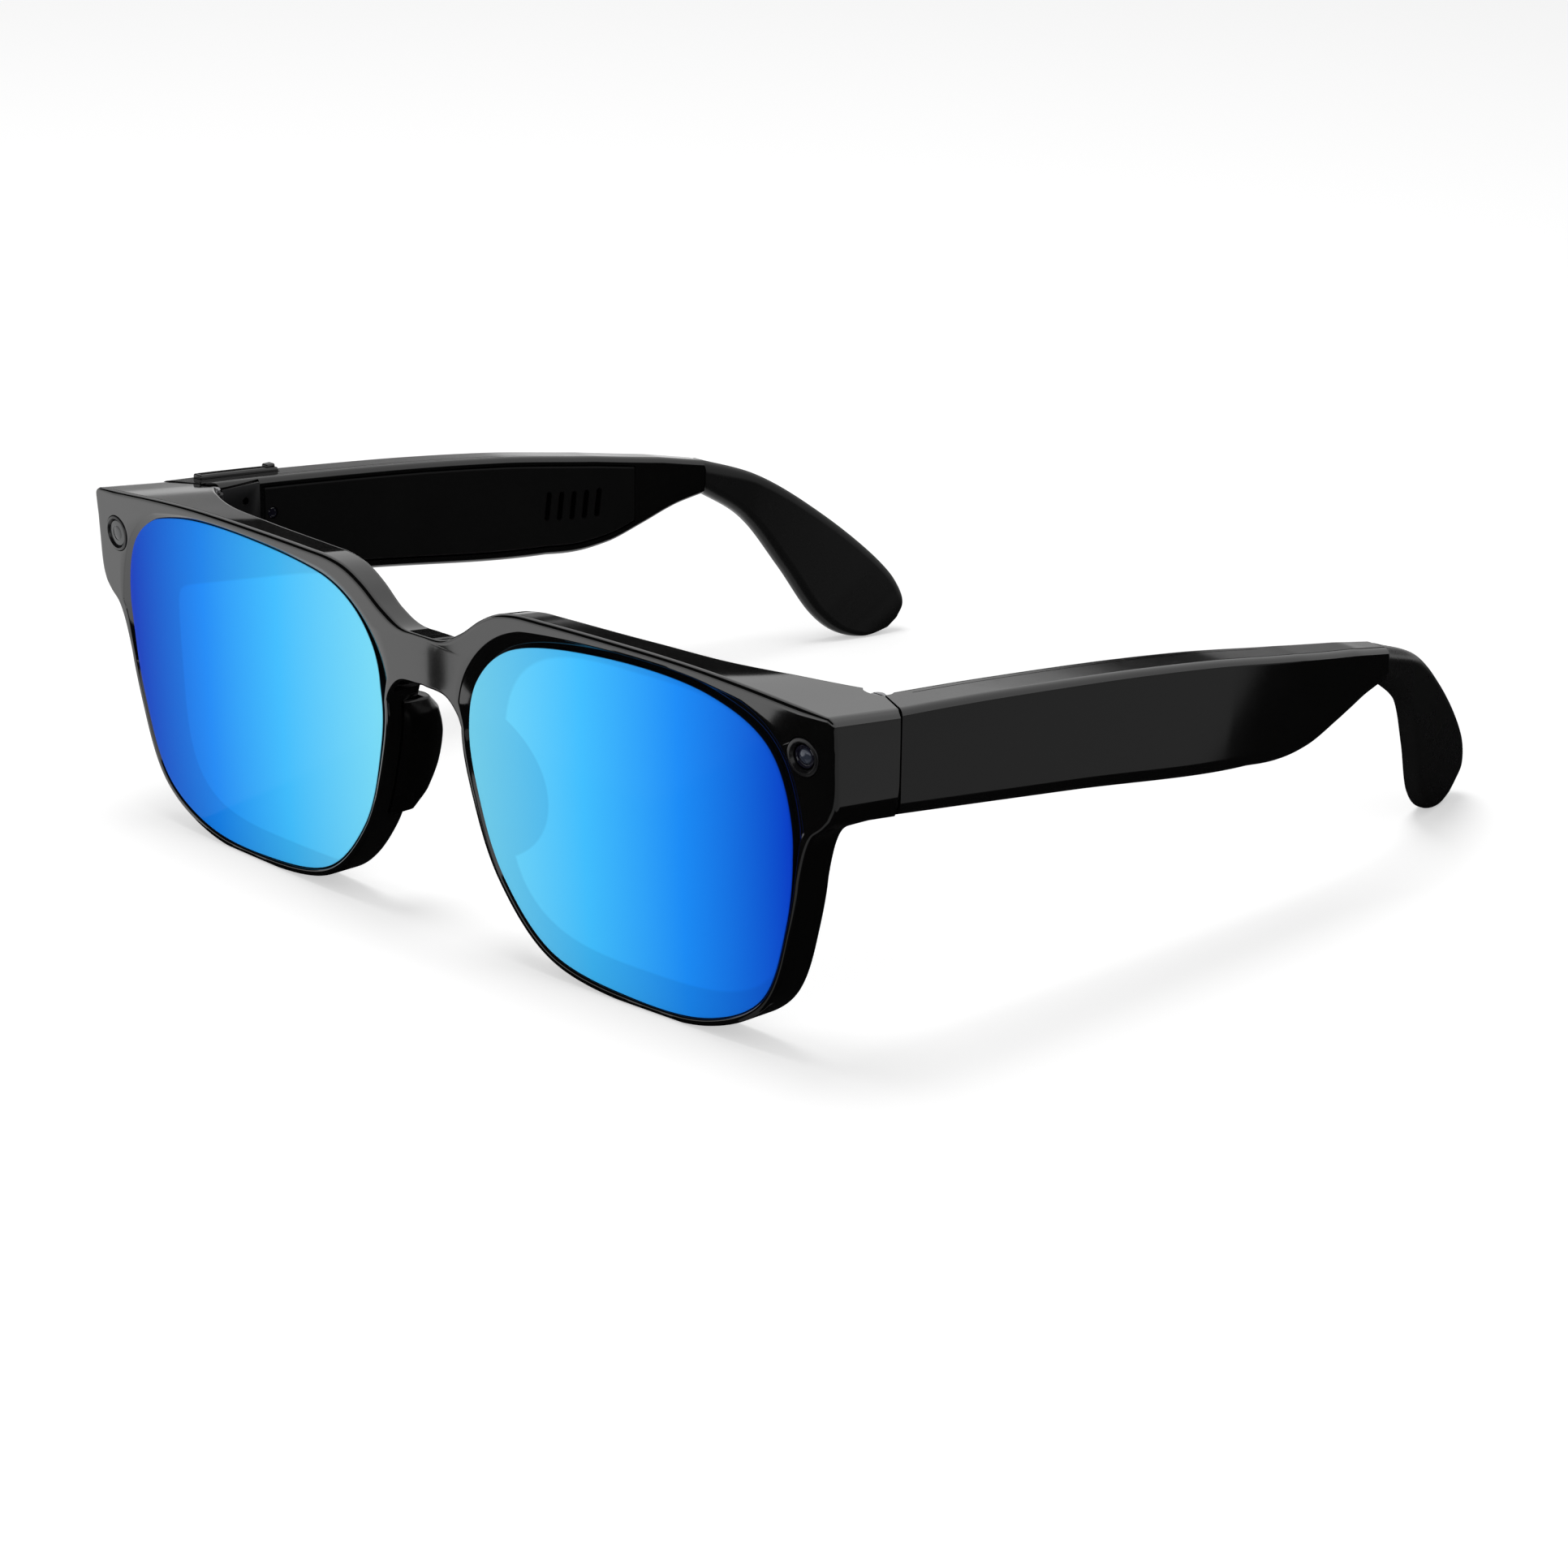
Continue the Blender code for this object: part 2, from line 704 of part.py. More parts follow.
def bay_ring(y, side_sign, inset, from_inner, to_outer):
    """Ring across the bay; from_inner and to_outer are measured from the inner face outwards."""
    low, high = temple_z(y)
    outer, inner = temple_x(y)
    edge = TEMPLE_WALL + inset
    radii = (0.5 * MM,) * 4
    far = outer - TEMPLE_WALL if to_outer is None else inner + to_outer
    return rounded(
        (y, low + edge), (y, high - edge), far, inner + from_inner, radii, side_sign, 2
    )


def tilted(y, z, x):
    """Frame that follows the slope of the temple."""
    return Matrix.Translation(Vector((x, y, z))) @ Matrix.Rotation(-SLOPE, 4, "X")


def bay_middle(y):
    low, high = temple_z(y)
    return (low + high) / 2


# Ear tip: lower edge and upper edge as shares of its length and of its height over the floor at the temple's end,
# outer side as a share of the way it goes inwards, and share of its thickness

TIP_ROWS = [
    (0.0000, 1.0000, 0.0000, 1.1920, 0.2094, 1.00),
    (0.2319, 0.7935, 0.3097, 1.0399, 0.3875, 0.98),
    (0.4014, 0.4710, 0.6236, 0.7536, 0.6250, 0.95),
    (0.5431, 0.1630, 0.8764, 0.4493, 0.8375, 0.93),
    (0.6486, 0.0435, 0.9597, 0.3043, 0.9188, 0.92),
    (0.7653, 0.0000, 0.9875, 0.1848, 0.9688, 0.88),
    (0.8875, 0.0217, 0.9597, 0.0978, 1.0000, 0.60),
]
tip_height = HINGE_Z + temple_z(TEMPLE_LENGTH)[0] + 0.14 * MM


def tip_ring(t, sign, shrink=0.0, step=None):
    start = TEMPLE_LENGTH + GAP
    rows = []
    for a, b, c, d, e, f in TIP_ROWS:
        low = (start + a * TIP_LENGTH, b * tip_height - HINGE_Z)
        high = (start + c * TIP_LENGTH, d * tip_height - HINGE_Z)
        rows.append((low, high, (TEMPLE_OUTER_X - HINGE_X - e * TIP_INWARD, f * TIP_THICKNESS)))
    low, high, (outer, thick) = [curve_point([r[k] for r in rows], t, False) for k in range(3)]
    thick = NECK_THICKNESS + (thick - NECK_THICKNESS) * min(1.0, t)
    inner = outer - thick
    if shrink:
        middle = (low + high) / 2
        up = (high - low).normalized()
        low, high = middle - up * shrink, middle + up * shrink
        centre = (outer + inner) / 2
        outer, inner = centre + step, centre - step
    radius = 0.44 * (outer - inner)
    lean = TIP_LEAN * (high.x - low.x)
    return rounded(low, high, outer, inner, (radius,) * 4, sign, 3, lean)


# One side of the object

def build_side(sign, label):
    place = Matrix.Translation(Vector((sign * HINGE_X, HINGE_Y, HINGE_Z)))
    axis = bpy.data.objects.new(f"temple_{label}_axis", None)
    bpy.context.scene.collection.objects.link(axis)
    axis.matrix_world = place
    seat = bpy.data.objects.new(f"hinge_{label}_seat", None)
    bpy.context.scene.collection.objects.link(seat)
    seat.matrix_world = place

    build_lens(sign, label)
    build_pad(sign, label)

    # End of the front: inner block, cut for the temple, hinge notch and leaf pocket
    block = []
    for depth, inset in ((0.42, 0.3), (0.55, 2.2), (0.75, 4.6), (1.2, 5.4)):
        y = FACE_Y + HINGE_SETBACK * depth - HINGE_Y
        drop = TOP_SLOPE * HINGE_SETBACK * depth
        inner = -inset * MM
        low = (y, END_LOW + 0.7 * MM - drop - HINGE_Z)
        high = (y, END_TOP - 0.6 * MM - drop - HINGE_Z)
        block.append(
            rounded(low, high, 4.6 * MM, inner, (0.3 * MM, 1.2 * MM, 1.2 * MM, 0.3 * MM), sign)
        )
    combine(front, keep(f"end_block_{label}", loft(block), None, seat), "UNION")
    reach = 16 * MM
    rear = [
        (sign * -reach, -END_STEP),
        (sign * 0.7 * MM, -END_STEP),
        (sign * 0.7 * MM, -GAP),
        (sign * reach, butt_line(reach) - GAP),
        (sign * reach, reach),
        (sign * -reach, reach),
    ]
    combine(front, keep(f"end_trim_{label}", prism(rear, -reach, reach), None, seat), "DIFFERENCE")
    swing = KNUCKLE_RADIUS + SWING_GAP
    hollow = rod(swing, 4 * reach, 20)
    combine(front, keep(f"hinge_notch_{label}", hollow, None, seat), "DIFFERENCE")
    pocket = box(
        (LEAF_THICKNESS + 2 * GAP, LEAF_LENGTH + swing + GAP, STACK + 2 * GAP),
        0.0,
        (0, -(LEAF_LENGTH + swing + GAP) / 2, 0),
    )
    combine(front, keep(f"leaf_pocket_{label}", pocket, None, seat), "DIFFERENCE")

    # Hinge
    heights = knuckles()
    build_leaf(f"hinge_front_leaf_{label}", heights[0::2], -1, 0.0, seat, sign)
    build_leaf(f"hinge_temple_leaf_{label}", heights[1::2], 1, LEAF_OFFSET, axis, sign)
    half = STACK / 2
    pin = [
        (0, -half - 0.2 * MM),
        (PIN_RADIUS, -half - 0.2 * MM),
        (PIN_RADIUS, half + GAP),
        (1.05 * MM, half + GAP),
        (1.05 * MM, half + GAP + 0.5 * MM),
        (0, half + GAP + 0.5 * MM),
    ]
    keep(f"hinge_pin_{label}", lathe(pin, 20), "hinge_steel", seat)

    # Temple shell
    shell = keep(
        f"temple_shell_{label}",
        loft([temple_ring(share * TEMPLE_LENGTH, sign) for share in TEMPLE_STEPS]),
        "gloss_black",
        axis,
    )
    ahead = [
        (sign * -reach, 0.0),
        (sign * 0.7 * MM, 0.0),
        (sign * reach, butt_line(reach)),
        (sign * reach, -reach),
        (sign * -reach, -reach),
    ]
    combine(shell, keep(f"temple_trim_{label}", prism(ahead, -reach, reach), None, axis), "DIFFERENCE")
    combine(
        shell, keep(f"temple_notch_{label}", rod(swing, 4 * reach, 20), None, axis), "DIFFERENCE"
    )
    slot_outer = LEAF_OFFSET + LEAF_THICKNESS / 2 + GAP
    slot_length = LEAF_LENGTH + swing + GAP
    slot = box(
        (slot_outer + 3 * MM, slot_length, STACK + 2 * GAP),
        0.0,
        (sign * (slot_outer - 3 * MM) / 2, slot_length / 2, 0),
    )
    combine(shell, keep(f"leaf_slot_{label}", slot, None, axis), "DIFFERENCE")
    bay_steps = spread(BAY_FRONT, BAY_REAR, 7)
    bay = loft([bay_ring(y, sign, 0.0, -2 * MM, None) for y in bay_steps])
    combine(shell, keep(f"bay_{label}", bay, None, axis), "DIFFERENCE")

    # Inner cover
    cover_steps = [BAY_FRONT + GAP] + bay_steps[1:-1] + [BAY_REAR - GAP]
    cover = keep(
        f"temple_cover_{label}",
        loft([bay_ring(y, sign, GAP, 0.0, COVER_THICKNESS) for y in cover_steps]),
        "soft_black",
        axis,
    )
    for k in range(5):
        y = BAY_REAR - 18.0 * MM + 2.6 * MM * k
        grille = box((4 * MM, 1.1 * MM, 4.6 * MM), 0.0)
        place_slot = tilted(y, bay_middle(y), sign * (temple_x(y)[1] + 0.5 * MM))
        combine(cover, keep(f"grille_{label}_{k}", grille, None, axis, place_slot), "DIFFERENCE")

    # Ear tip on its core
    tip_steps = [0, 0.35, 0.7, 1, 1.5, 2, 2.5, 3, 3.5, 4, 4.5, 5, 5.5, 6]
    tip = keep(
        f"temple_tip_{label}", loft([tip_ring(t, sign) for t in tip_steps]), "gloss_black", axis
    )

    def core_ring(y, wide, tall):
        low, high = temple_z(y)
        outer, inner = temple_x(y)
        centre, middle = (outer + inner) / 2, (low + high) / 2
        return rounded(
            (y, middle - tall), (y, middle + tall), centre + wide, centre - wide,
            (0.3 * MM,) * 4, sign, 1,
        )

    half_core, tall_core = CORE_WIDTH / 2, CORE_HEIGHT / 2
    core_start = TEMPLE_LENGTH - CORE_SINK
    core_steps = (TEMPLE_LENGTH - 0.54 * CORE_SINK, TEMPLE_LENGTH)
    inside = [core_ring(y, half_core, tall_core) for y in (core_start, *core_steps)]
    inside += [rounded_core(tip_ring(t, sign, tall_core, half_core)) for t in (0.15, 0.5, 1.0)]
    keep(f"tip_core_{label}", loft(inside), "hinge_steel", axis)
    room = half_core + GAP
    tall_room = tall_core + GAP
    outside = [core_ring(y, room, tall_room) for y in (core_start - GAP, *core_steps)]
    outside += [rounded_core(tip_ring(t, sign, tall_room, room)) for t in (0.15, 0.5, 1.05)]
    core_room = keep(f"core_room_{label}", loft(outside), None, axis)
    combine(shell, core_room, "DIFFERENCE")
    combine(tip, core_room, "DIFFERENCE")
    return axis, shell, cover


def rounded_core(ring):
    """Keeps the two ends of each rounded corner, so that it matches a core ring."""
    return [ring[i] for i in (0, 3, 4, 7, 8, 11, 12, 15)]


left_axis, left_shell, left_cover = build_side(1, "left")
right_axis, right_shell, right_cover = build_side(-1, "right")


# Camera on the wearer's left and light on the right, each in a bore of the front

def build_module(sign, label, window_slot, barrel_slot, names):
    bore = keep(
        f"module_bore_{label}",
        rod(BEZEL_RADIUS + GAP, 14 * MM, 28, (0, 0, 0.0)),
        None,
        None,
        face_matrix(sign * MODULE_X, MODULE_Z),
    )
    combine(front, bore, "DIFFERENCE")
    place = face_matrix(sign * MODULE_X, MODULE_Z)
    lip = WINDOW_RADIUS + GAP
    ring = [
        (BEZEL_RADIUS, -1.6 * MM),
        (BEZEL_RADIUS, 0.0),
        (BEZEL_RADIUS - 0.25 * MM, 0.2 * MM),
        (lip + 0.45 * MM, 0.2 * MM),
        (lip, -0.25 * MM),
        (lip, -1.6 * MM),
    ]
    keep(names[0], lathe(ring, 32), "dark_ring", None, place)
    dome = [
        (0, -1.4 * MM),
        (WINDOW_RADIUS, -1.4 * MM),
        (WINDOW_RADIUS, -0.45 * MM),
        (0.7 * WINDOW_RADIUS, -0.28 * MM),
        (0.35 * WINDOW_RADIUS, -0.2 * MM),
        (0, -0.2 * MM),
    ]
    keep(names[1], lathe(dome, 28), window_slot, None, place)
    body = [
        (0, -6.6 * MM),
        (BEZEL_RADIUS, -6.6 * MM),
        (BEZEL_RADIUS, -1.6 * MM - GAP),
        (0, -1.6 * MM - GAP),
    ]
    keep(names[2], lathe(body, 24), barrel_slot, None, place)


build_module(1, "left", "camera_glass", "black_barrel", ("camera_bezel", "camera_window", "camera_barrel"))
build_module(-1, "right", "light_window", "black_barrel", ("light_bezel", "light_window", "light_body"))


# Charging contacts on the back of the bridge

CONTACT_RADIUS = 1.0 * MM
contact_z = BRIDGE_UNDERSIDE + 0.5 * BRIDGE_HEIGHT
for sign, label in ((1, "left"), (-1, "right")):
    at = face_matrix(sign * 2.4 * MM, contact_z, BRIDGE_DEPTH + 0.3 * MM)
    room = rod(CONTACT_RADIUS + GAP, 1.4 * MM, 20)
    combine(front, keep(f"contact_room_{label}", room, None, None, at), "DIFFERENCE")
    disc = rod(CONTACT_RADIUS, 0.6 * MM, 20, (0, 0, 0.15 * MM))
    keep(f"charge_contact_{label}", disc, "contact_gold", None, at)


# Electronics inside the bays

def bay_piece(name, size, y, lift, slot, axis, sign, edge=0.3 * MM):
    """Box that lies against the outer wall of a bay, with its middle lift over the middle of the bay."""
    outer = min(temple_x(y - size[1] / 2)[0], temple_x(y + size[1] / 2)[0])
    x = sign * (outer - TEMPLE_WALL - GAP - size[0] / 2)
    return keep(name, box(size, edge), slot, axis, tilted(y, bay_middle(y) + lift, x))


BATTERY_FRONT = BAY_FRONT + 16.0 * MM
BATTERY_REAR = BAY_REAR - 22.0 * MM
BOARD_FRONT = BAY_FRONT + 17.0 * MM
BOARD_REAR = BAY_REAR - 27.0 * MM
BOARD_THICKNESS = 1.2 * MM
INSIDE_HEIGHT = 0.643 * TEMPLE_HEIGHT
bay_piece(
    "battery_cell", (TEMPLE_THICKNESS / 2, BATTERY_REAR - BATTERY_FRONT, INSIDE_HEIGHT),
    (BATTERY_FRONT + BATTERY_REAR) / 2, 0.0, "cell_silver", left_axis, 1, 0.6 * MM,
)
board_length = BOARD_REAR - BOARD_FRONT
board_y = (BOARD_FRONT + BOARD_REAR) / 2
board = bay_piece(
    "main_board", (BOARD_THICKNESS, board_length, INSIDE_HEIGHT), board_y, 0.0, "board_green", right_axis, -1, 0.0
)
for k, (shift, length, height) in enumerate(((-0.3, 0.27, 0.78), (0.05, 0.3, 0.67), (0.35, 0.17, 0.56))):
    chip = box((1.6 * MM, length * board_length, height * INSIDE_HEIGHT))
    y = board_y + shift * board_length * math.cos(SLOPE)
    along_z = bay_middle(board_y) - shift * board_length * math.sin(SLOPE)
    inward = temple_x(BOARD_REAR)[0] - TEMPLE_WALL - GAP - BOARD_THICKNESS - 0.5 * MM
    chip_at = tilted(y, along_z, -inward)
    combine(board, keep(f"board_chip_{k}", chip, None, right_axis, chip_at), "UNION")
for sign, label, axis in ((1, "left", left_axis), (-1, "right", right_axis)):
    bay_piece(
        f"speaker_{label}", (0.44 * TEMPLE_THICKNESS, 13.0 * MM, 0.543 * TEMPLE_HEIGHT), BAY_REAR - 12.8 * MM,
        0.0, "speaker_black", axis, sign, 0.8 * MM,
    )
    bay_piece(
        f"microphone_{label}", (1.2 * MM, 3.6 * MM, 2.6 * MM), BAY_FRONT + 5.5 * MM,
        -0.229 * TEMPLE_HEIGHT, "cell_silver", axis, sign, 0.2 * MM,
    )


# Capture button over its switch on the right temple

BUTTON_X = 5.3 * MM
BUTTON_START = 1.2 * MM
BUTTON_SINK = 1.5 * MM
button_steps = [BUTTON_START + BUTTON_LENGTH * k / 6 for k in range(7)]


def button_ring(y, width, rise, sink, grow):
    high = temple_z(y)[1]
    return rounded(
        (y, high - sink - grow), (y, high + rise), BUTTON_X + width / 2 + grow,
        BUTTON_X - width / 2 - grow, (0.3 * MM,) * 4, -1, 2,
    )


slot_steps = [button_steps[0] - GAP] + button_steps[1:-1] + [button_steps[-1] + GAP]
button_room = loft([button_ring(y, BUTTON_WIDTH, 3 * MM, BUTTON_SINK + BUTTON_TRAVEL, GAP) for y in slot_steps])
combine(right_shell, keep("button_room", button_room, None, right_axis), "DIFFERENCE")
button = keep(
    "capture_button",
    loft([button_ring(y, BUTTON_WIDTH, BUTTON_RISE, BUTTON_SINK, 0.0) for y in button_steps]),
    "gloss_black",
    right_axis,
)
nub_y = button_steps[-1] - 1.2 * MM
nub_top = temple_z(nub_y)[1] + BUTTON_RISE
nub = box((BUTTON_WIDTH - 0.3 * MM, 1.6 * MM, 1.2 * MM), 0.25 * MM, (-BUTTON_X, nub_y, nub_top - 0.1 * MM))
combine(button, keep("capture_nub", nub, None, right_axis), "UNION")
switch_top = temple_z(nub_y)[1] - BUTTON_SINK - BUTTON_TRAVEL - 2 * GAP - 0.1 * MM
keep(
    "capture_switch",
    box((2.2 * MM, 3.4 * MM, 1.4 * MM), 0.2 * MM, (-(BUTTON_X - 0.6 * MM), nub_y, switch_top - 0.7 * MM)),
    "speaker_black",
    right_axis,
)


# Wear sensor window in the right cover

sensor_y = BAY_FRONT + 1.6 * MM
sensor_z = 0.057 * TEMPLE_HEIGHT
sensor_x = -(temple_x(sensor_y)[1] + COVER_THICKNESS / 2)
sensor_at = Matrix.Translation(Vector((sensor_x, sensor_y, sensor_z))) @ Matrix.Rotation(math.pi / 2, 4, "Y")
combine(
    right_cover, keep("sensor_hole", rod(0.8 * MM + GAP, 3 * MM, 20), None, right_axis, sensor_at), "DIFFERENCE"
)
keep("wear_sensor_window", rod(0.8 * MM, COVER_THICKNESS, 20), "camera_glass", right_axis, sensor_at)


# Power slider in the left cover

slide_y = BAY_FRONT + 8.0 * MM
slide_z = bay_middle(slide_y) + 1.5 * MM
slide_x = temple_x(slide_y)[1]
KNOB = (1.0 * MM, 2.6 * MM, 1.8 * MM)
slide_room = box(
    (4 * MM, KNOB[1] + SLIDER_TRAVEL + 2 * GAP, KNOB[2] + 2 * GAP),
    0.0,
    (slide_x, slide_y + SLIDER_TRAVEL / 2, slide_z),
)
combine(left_cover, keep("slider_room", slide_room, None, left_axis), "DIFFERENCE")
slider = keep(
    "power_slider",
    box(
        (COVER_THICKNESS + GAP + 1.0 * MM, KNOB[1], KNOB[2]),
        0.2 * MM,
        (slide_x + (COVER_THICKNESS + GAP) / 2 + 0.1 * MM, slide_y, slide_z),
    ),
    "soft_black",
    left_axis,
)
flange = box(
    (0.7 * MM, KNOB[1] + 2.0 * MM, KNOB[2] + 1.6 * MM),
    0.0,
    (slide_x + COVER_THICKNESS + GAP + 0.35 * MM, slide_y, slide_z),
)
combine(slider, keep("slider_flange", flange, None, left_axis), "UNION")
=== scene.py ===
import math

import bmesh
import bpy
from mathutils import Matrix, Vector


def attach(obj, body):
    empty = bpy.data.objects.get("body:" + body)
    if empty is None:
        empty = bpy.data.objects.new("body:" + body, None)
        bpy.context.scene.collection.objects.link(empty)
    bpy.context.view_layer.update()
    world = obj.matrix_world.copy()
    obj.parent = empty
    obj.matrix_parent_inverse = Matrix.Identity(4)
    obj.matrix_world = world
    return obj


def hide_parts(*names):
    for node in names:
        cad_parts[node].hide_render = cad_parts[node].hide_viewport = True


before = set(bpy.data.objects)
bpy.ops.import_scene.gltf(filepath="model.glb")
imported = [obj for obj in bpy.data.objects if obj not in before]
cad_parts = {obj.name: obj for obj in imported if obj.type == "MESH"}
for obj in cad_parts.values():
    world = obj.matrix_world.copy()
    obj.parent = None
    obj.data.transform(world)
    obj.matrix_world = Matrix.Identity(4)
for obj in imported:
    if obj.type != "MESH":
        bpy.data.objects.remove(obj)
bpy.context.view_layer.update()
mm = 0.001  # every piece is drawn in millimetres and scaled once at the end
sides = ((1, "Left"), (-1, "Right"))  # the wearer's left is at +x
print("frame loaded:", len(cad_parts), "nodes")


# curves and rings

def unit(value):
    return max(0.0, min(1.0, value))


def smoothShare(share):
    return share * share * (3 - 2 * share)


def smoothPoint(points, t, closed=False):
    count = len(points)
    step = int(math.floor(t))
    if not closed:
        step = max(0, min(step, count - 2))
    part = t - step

    def at(index):
        if closed:
            return Vector(points[index % count])
        if index < 0:
            return 2 * Vector(points[0]) - Vector(points[1])
        if index >= count:
            return 2 * Vector(points[-1]) - Vector(points[-2])
        return Vector(points[index])

    before, start, end, after = (at(step + k) for k in (-1, 0, 1, 2))
    d0 = max((start - before).length, 1e-6) ** 0.5
    d1 = max((end - start).length, 1e-6) ** 0.5
    d2 = max((after - end).length, 1e-6) ** 0.5
    m1 = (end - start) + d1 * ((start - before) / d0 - (end - before) / (d0 + d1))
    m2 = (end - start) + d1 * ((after - end) / d2 - (after - start) / (d1 + d2))
    f2, f3 = part * part, part ** 3
    return (
        (2 * f3 - 3 * f2 + 1) * start + (f3 - 2 * f2 + part) * m1
        + (3 * f2 - 2 * f3) * end + (f3 - f2) * m2
    )


def evenRun(points, count):
    fine = [smoothPoint(points, i / 40) for i in range(40 * (len(points) - 1) + 1)]
    reach = [0.0]
    for before, after in zip(fine, fine[1:]):
        reach.append(reach[-1] + (after - before).length)
    made, k = [], 0
    for i in range(count):
        want = reach[-1] * i / (count - 1)
        while k < len(reach) - 2 and reach[k + 1] < want:
            k += 1
        share = (want - reach[k]) / max(reach[k + 1] - reach[k], 1e-9)
        made.append(fine[k].lerp(fine[k + 1], min(1.0, share)))
    return made


def runValue(rows, want):
    k = 0
    while k < len(rows) - 2 and want > rows[k + 1][0]:
        k += 1
    share = (want - rows[k][0]) / (rows[k + 1][0] - rows[k][0])
    return smoothPoint(rows, k + share)[1]


def heldValue(rows, want):
    return runValue(rows, max(rows[0][0], min(rows[-1][0], want)))


def spread(start, end, count):
    return [start + (end - start) * i / (count - 1) for i in range(count)]


def roundedRing(low, high, outerX, innerX, radii, segments=8, lean=0.0, hold=0.12):
    # section across a temple or tip; hold keeps a pair of points beside each corner so flats stay flat
    low, high = Vector(low), Vector(high)
    up, height, width = (high - low).normalized(), (high - low).length, outerX - innerX
    corners = ((width, height, 0), (0, height, 90), (0, 0, 180), (width, 0, 270))
    ring = []
    for (x, z, start), radius in zip(corners, radii):
        radius = min(radius, 0.46 * height, 0.46 * width)
        cx = x - radius if x else radius
        cz = z - radius if z else radius
        spots = []
        for k in range(segments + 1):
            angle = math.radians(start + 90 * k / segments)
            spots.append(Vector((cx + radius * math.cos(angle), cz + radius * math.sin(angle))))
        for angle, place in ((start, 0), (start + 90, len(spots))):
            back = math.radians(angle - 90 if place == 0 else angle + 90)
            aside = Vector((math.cos(back), math.sin(back))) * hold
            spots.insert(place + (1 if place else 0), (spots[0] if place == 0 else spots[-1]) + aside)
        for spot in spots:
            px = innerX + spot.x + lean * (1 - spot.y / height)
            place = low + up * spot.y
            ring.append(Vector((px, place.x, place.y)))
    return ring


# bmesh helpers

def ringEdges(bm, points):
    verts = [bm.verts.new(p) for p in points]
    return [bm.edges.new(pair) for pair in zip(verts, verts[1:] + verts[:1])]


def bridgeRings(rings, closed=False):
    bm = bmesh.new()
    loops = [ringEdges(bm, ring) for ring in rings]
    pairs = list(zip(loops, loops[1:]))
    if closed:
        pairs.append((loops[-1], loops[0]))
    for before, after in pairs:
        bmesh.ops.bridge_loops(bm, edges=before + after)
    if not closed:
        for loop in (loops[0], loops[-1]):
            bmesh.ops.contextual_create(bm, geom=loop)
    bmesh.ops.recalc_face_normals(bm, faces=bm.faces)
    return bm


def spinProfile(profile, steps, ringShaped=False):
    bm = bmesh.new()
    verts = [bm.verts.new((r, 0, z)) for r, z in profile]
    edges = [bm.edges.new(pair) for pair in zip(verts, verts[1:])]
    if ringShaped:
        edges.append(bm.edges.new((verts[-1], verts[0])))
    bmesh.ops.spin(
        bm, geom=verts + edges, cent=(0, 0, 0), axis=(0, 0, 1), angle=2 * math.pi, steps=steps, use_merge=True
    )
    bmesh.ops.remove_doubles(bm, verts=bm.verts, dist=1e-4)
    bmesh.ops.recalc_face_normals(bm, faces=bm.faces)
    return bm


def softEdges(bm, edges, offset, segments):
    bmesh.ops.bevel(bm, geom=edges, offset=offset, affect="EDGES", segments=segments, profile=0.5, material=-1)


def roundBox(size, centre=(0, 0, 0), edge=0.0, segments=3):
    bm = bmesh.new()
    bmesh.ops.create_cube(bm, size=1.0)
    bmesh.ops.scale(bm, vec=Vector(size), verts=bm.verts)
    if edge:
        softEdges(bm, bm.edges[:], edge, segments)
    bmesh.ops.translate(bm, vec=Vector(centre), verts=bm.verts)
    return bm


def roundRod(radius, length, steps, centre=(0, 0, 0)):
    bm = bmesh.new()
    bmesh.ops.create_cone(bm, cap_ends=True, segments=steps, radius1=radius, radius2=radius, depth=length)
    bmesh.ops.translate(bm, vec=Vector(centre), verts=bm.verts)
    return bm


def moved(bm, matrix):
    bmesh.ops.transform(bm, matrix=matrix, verts=bm.verts)
    if matrix.determinant() < 0:
        bmesh.ops.reverse_faces(bm, faces=bm.faces)
    return bm


def crossRod(radius, length, steps, centre):
    # rod along X
    turn = Matrix.Rotation(math.pi / 2, 4, "Y")
    return moved(roundRod(radius, length, steps), Matrix.Translation(centre) @ turn)


def meshObject(name, bm):
    mesh = bpy.data.meshes.new(name)
    bm.to_mesh(mesh)
    bm.free()
    made = bpy.data.objects.new(name, mesh)
    bpy.context.scene.collection.objects.link(made)
    return made


def carve(bm, steps):
    # steps are pairs of an operation and a cutter, used up in order
    base = meshObject("working", bm)
    tools = []
    for operation, cutter in steps:
        tool = meshObject("working", cutter)
        tools.append(tool)
        cut = base.modifiers.new("cut", "BOOLEAN")
        cut.operation, cut.solver, cut.object = operation, "EXACT", tool
    bpy.context.view_layer.update()
    mesh = bpy.data.meshes.new_from_object(base.evaluated_get(bpy.context.evaluated_depsgraph_get()))
    done = bmesh.new()
    done.from_mesh(mesh)
    bmesh.ops.remove_doubles(done, verts=done.verts, dist=1e-4)
    bpy.data.meshes.remove(mesh)
    for old in [base] + tools:
        data = old.data
        bpy.data.objects.remove(old)
        bpy.data.meshes.remove(data)
    return done


def finishPiece(name, bm, material, body, nodes, crease=32):
    bmesh.ops.scale(bm, vec=Vector((mm, mm, mm)), verts=bm.verts)
    piece = meshObject(name, bm)
    piece.data.materials.append(material)
    piece.data.shade_smooth()
    piece.data.set_sharp_from_angle(angle=math.radians(crease))
    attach(piece, body)
    if nodes:
        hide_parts(*nodes)
    return piece


# material helpers

def toLinear(red, green, blue):
    made = []
    for part in (red, green, blue):
        part /= 255
        made.append(part / 12.92 if part <= 0.04045 else ((part + 0.055) / 1.055) ** 2.4)
    return (*made, 1.0)


def newMaterial(name):
    made = bpy.data.materials.new(name)
    made.use_nodes = True
    nodes, links = made.node_tree.nodes, made.node_tree.links
    shader = nodes["Principled BSDF"]
    place = nodes.new("ShaderNodeTexCoord").outputs["Object"]
    return made, nodes, links, shader, place


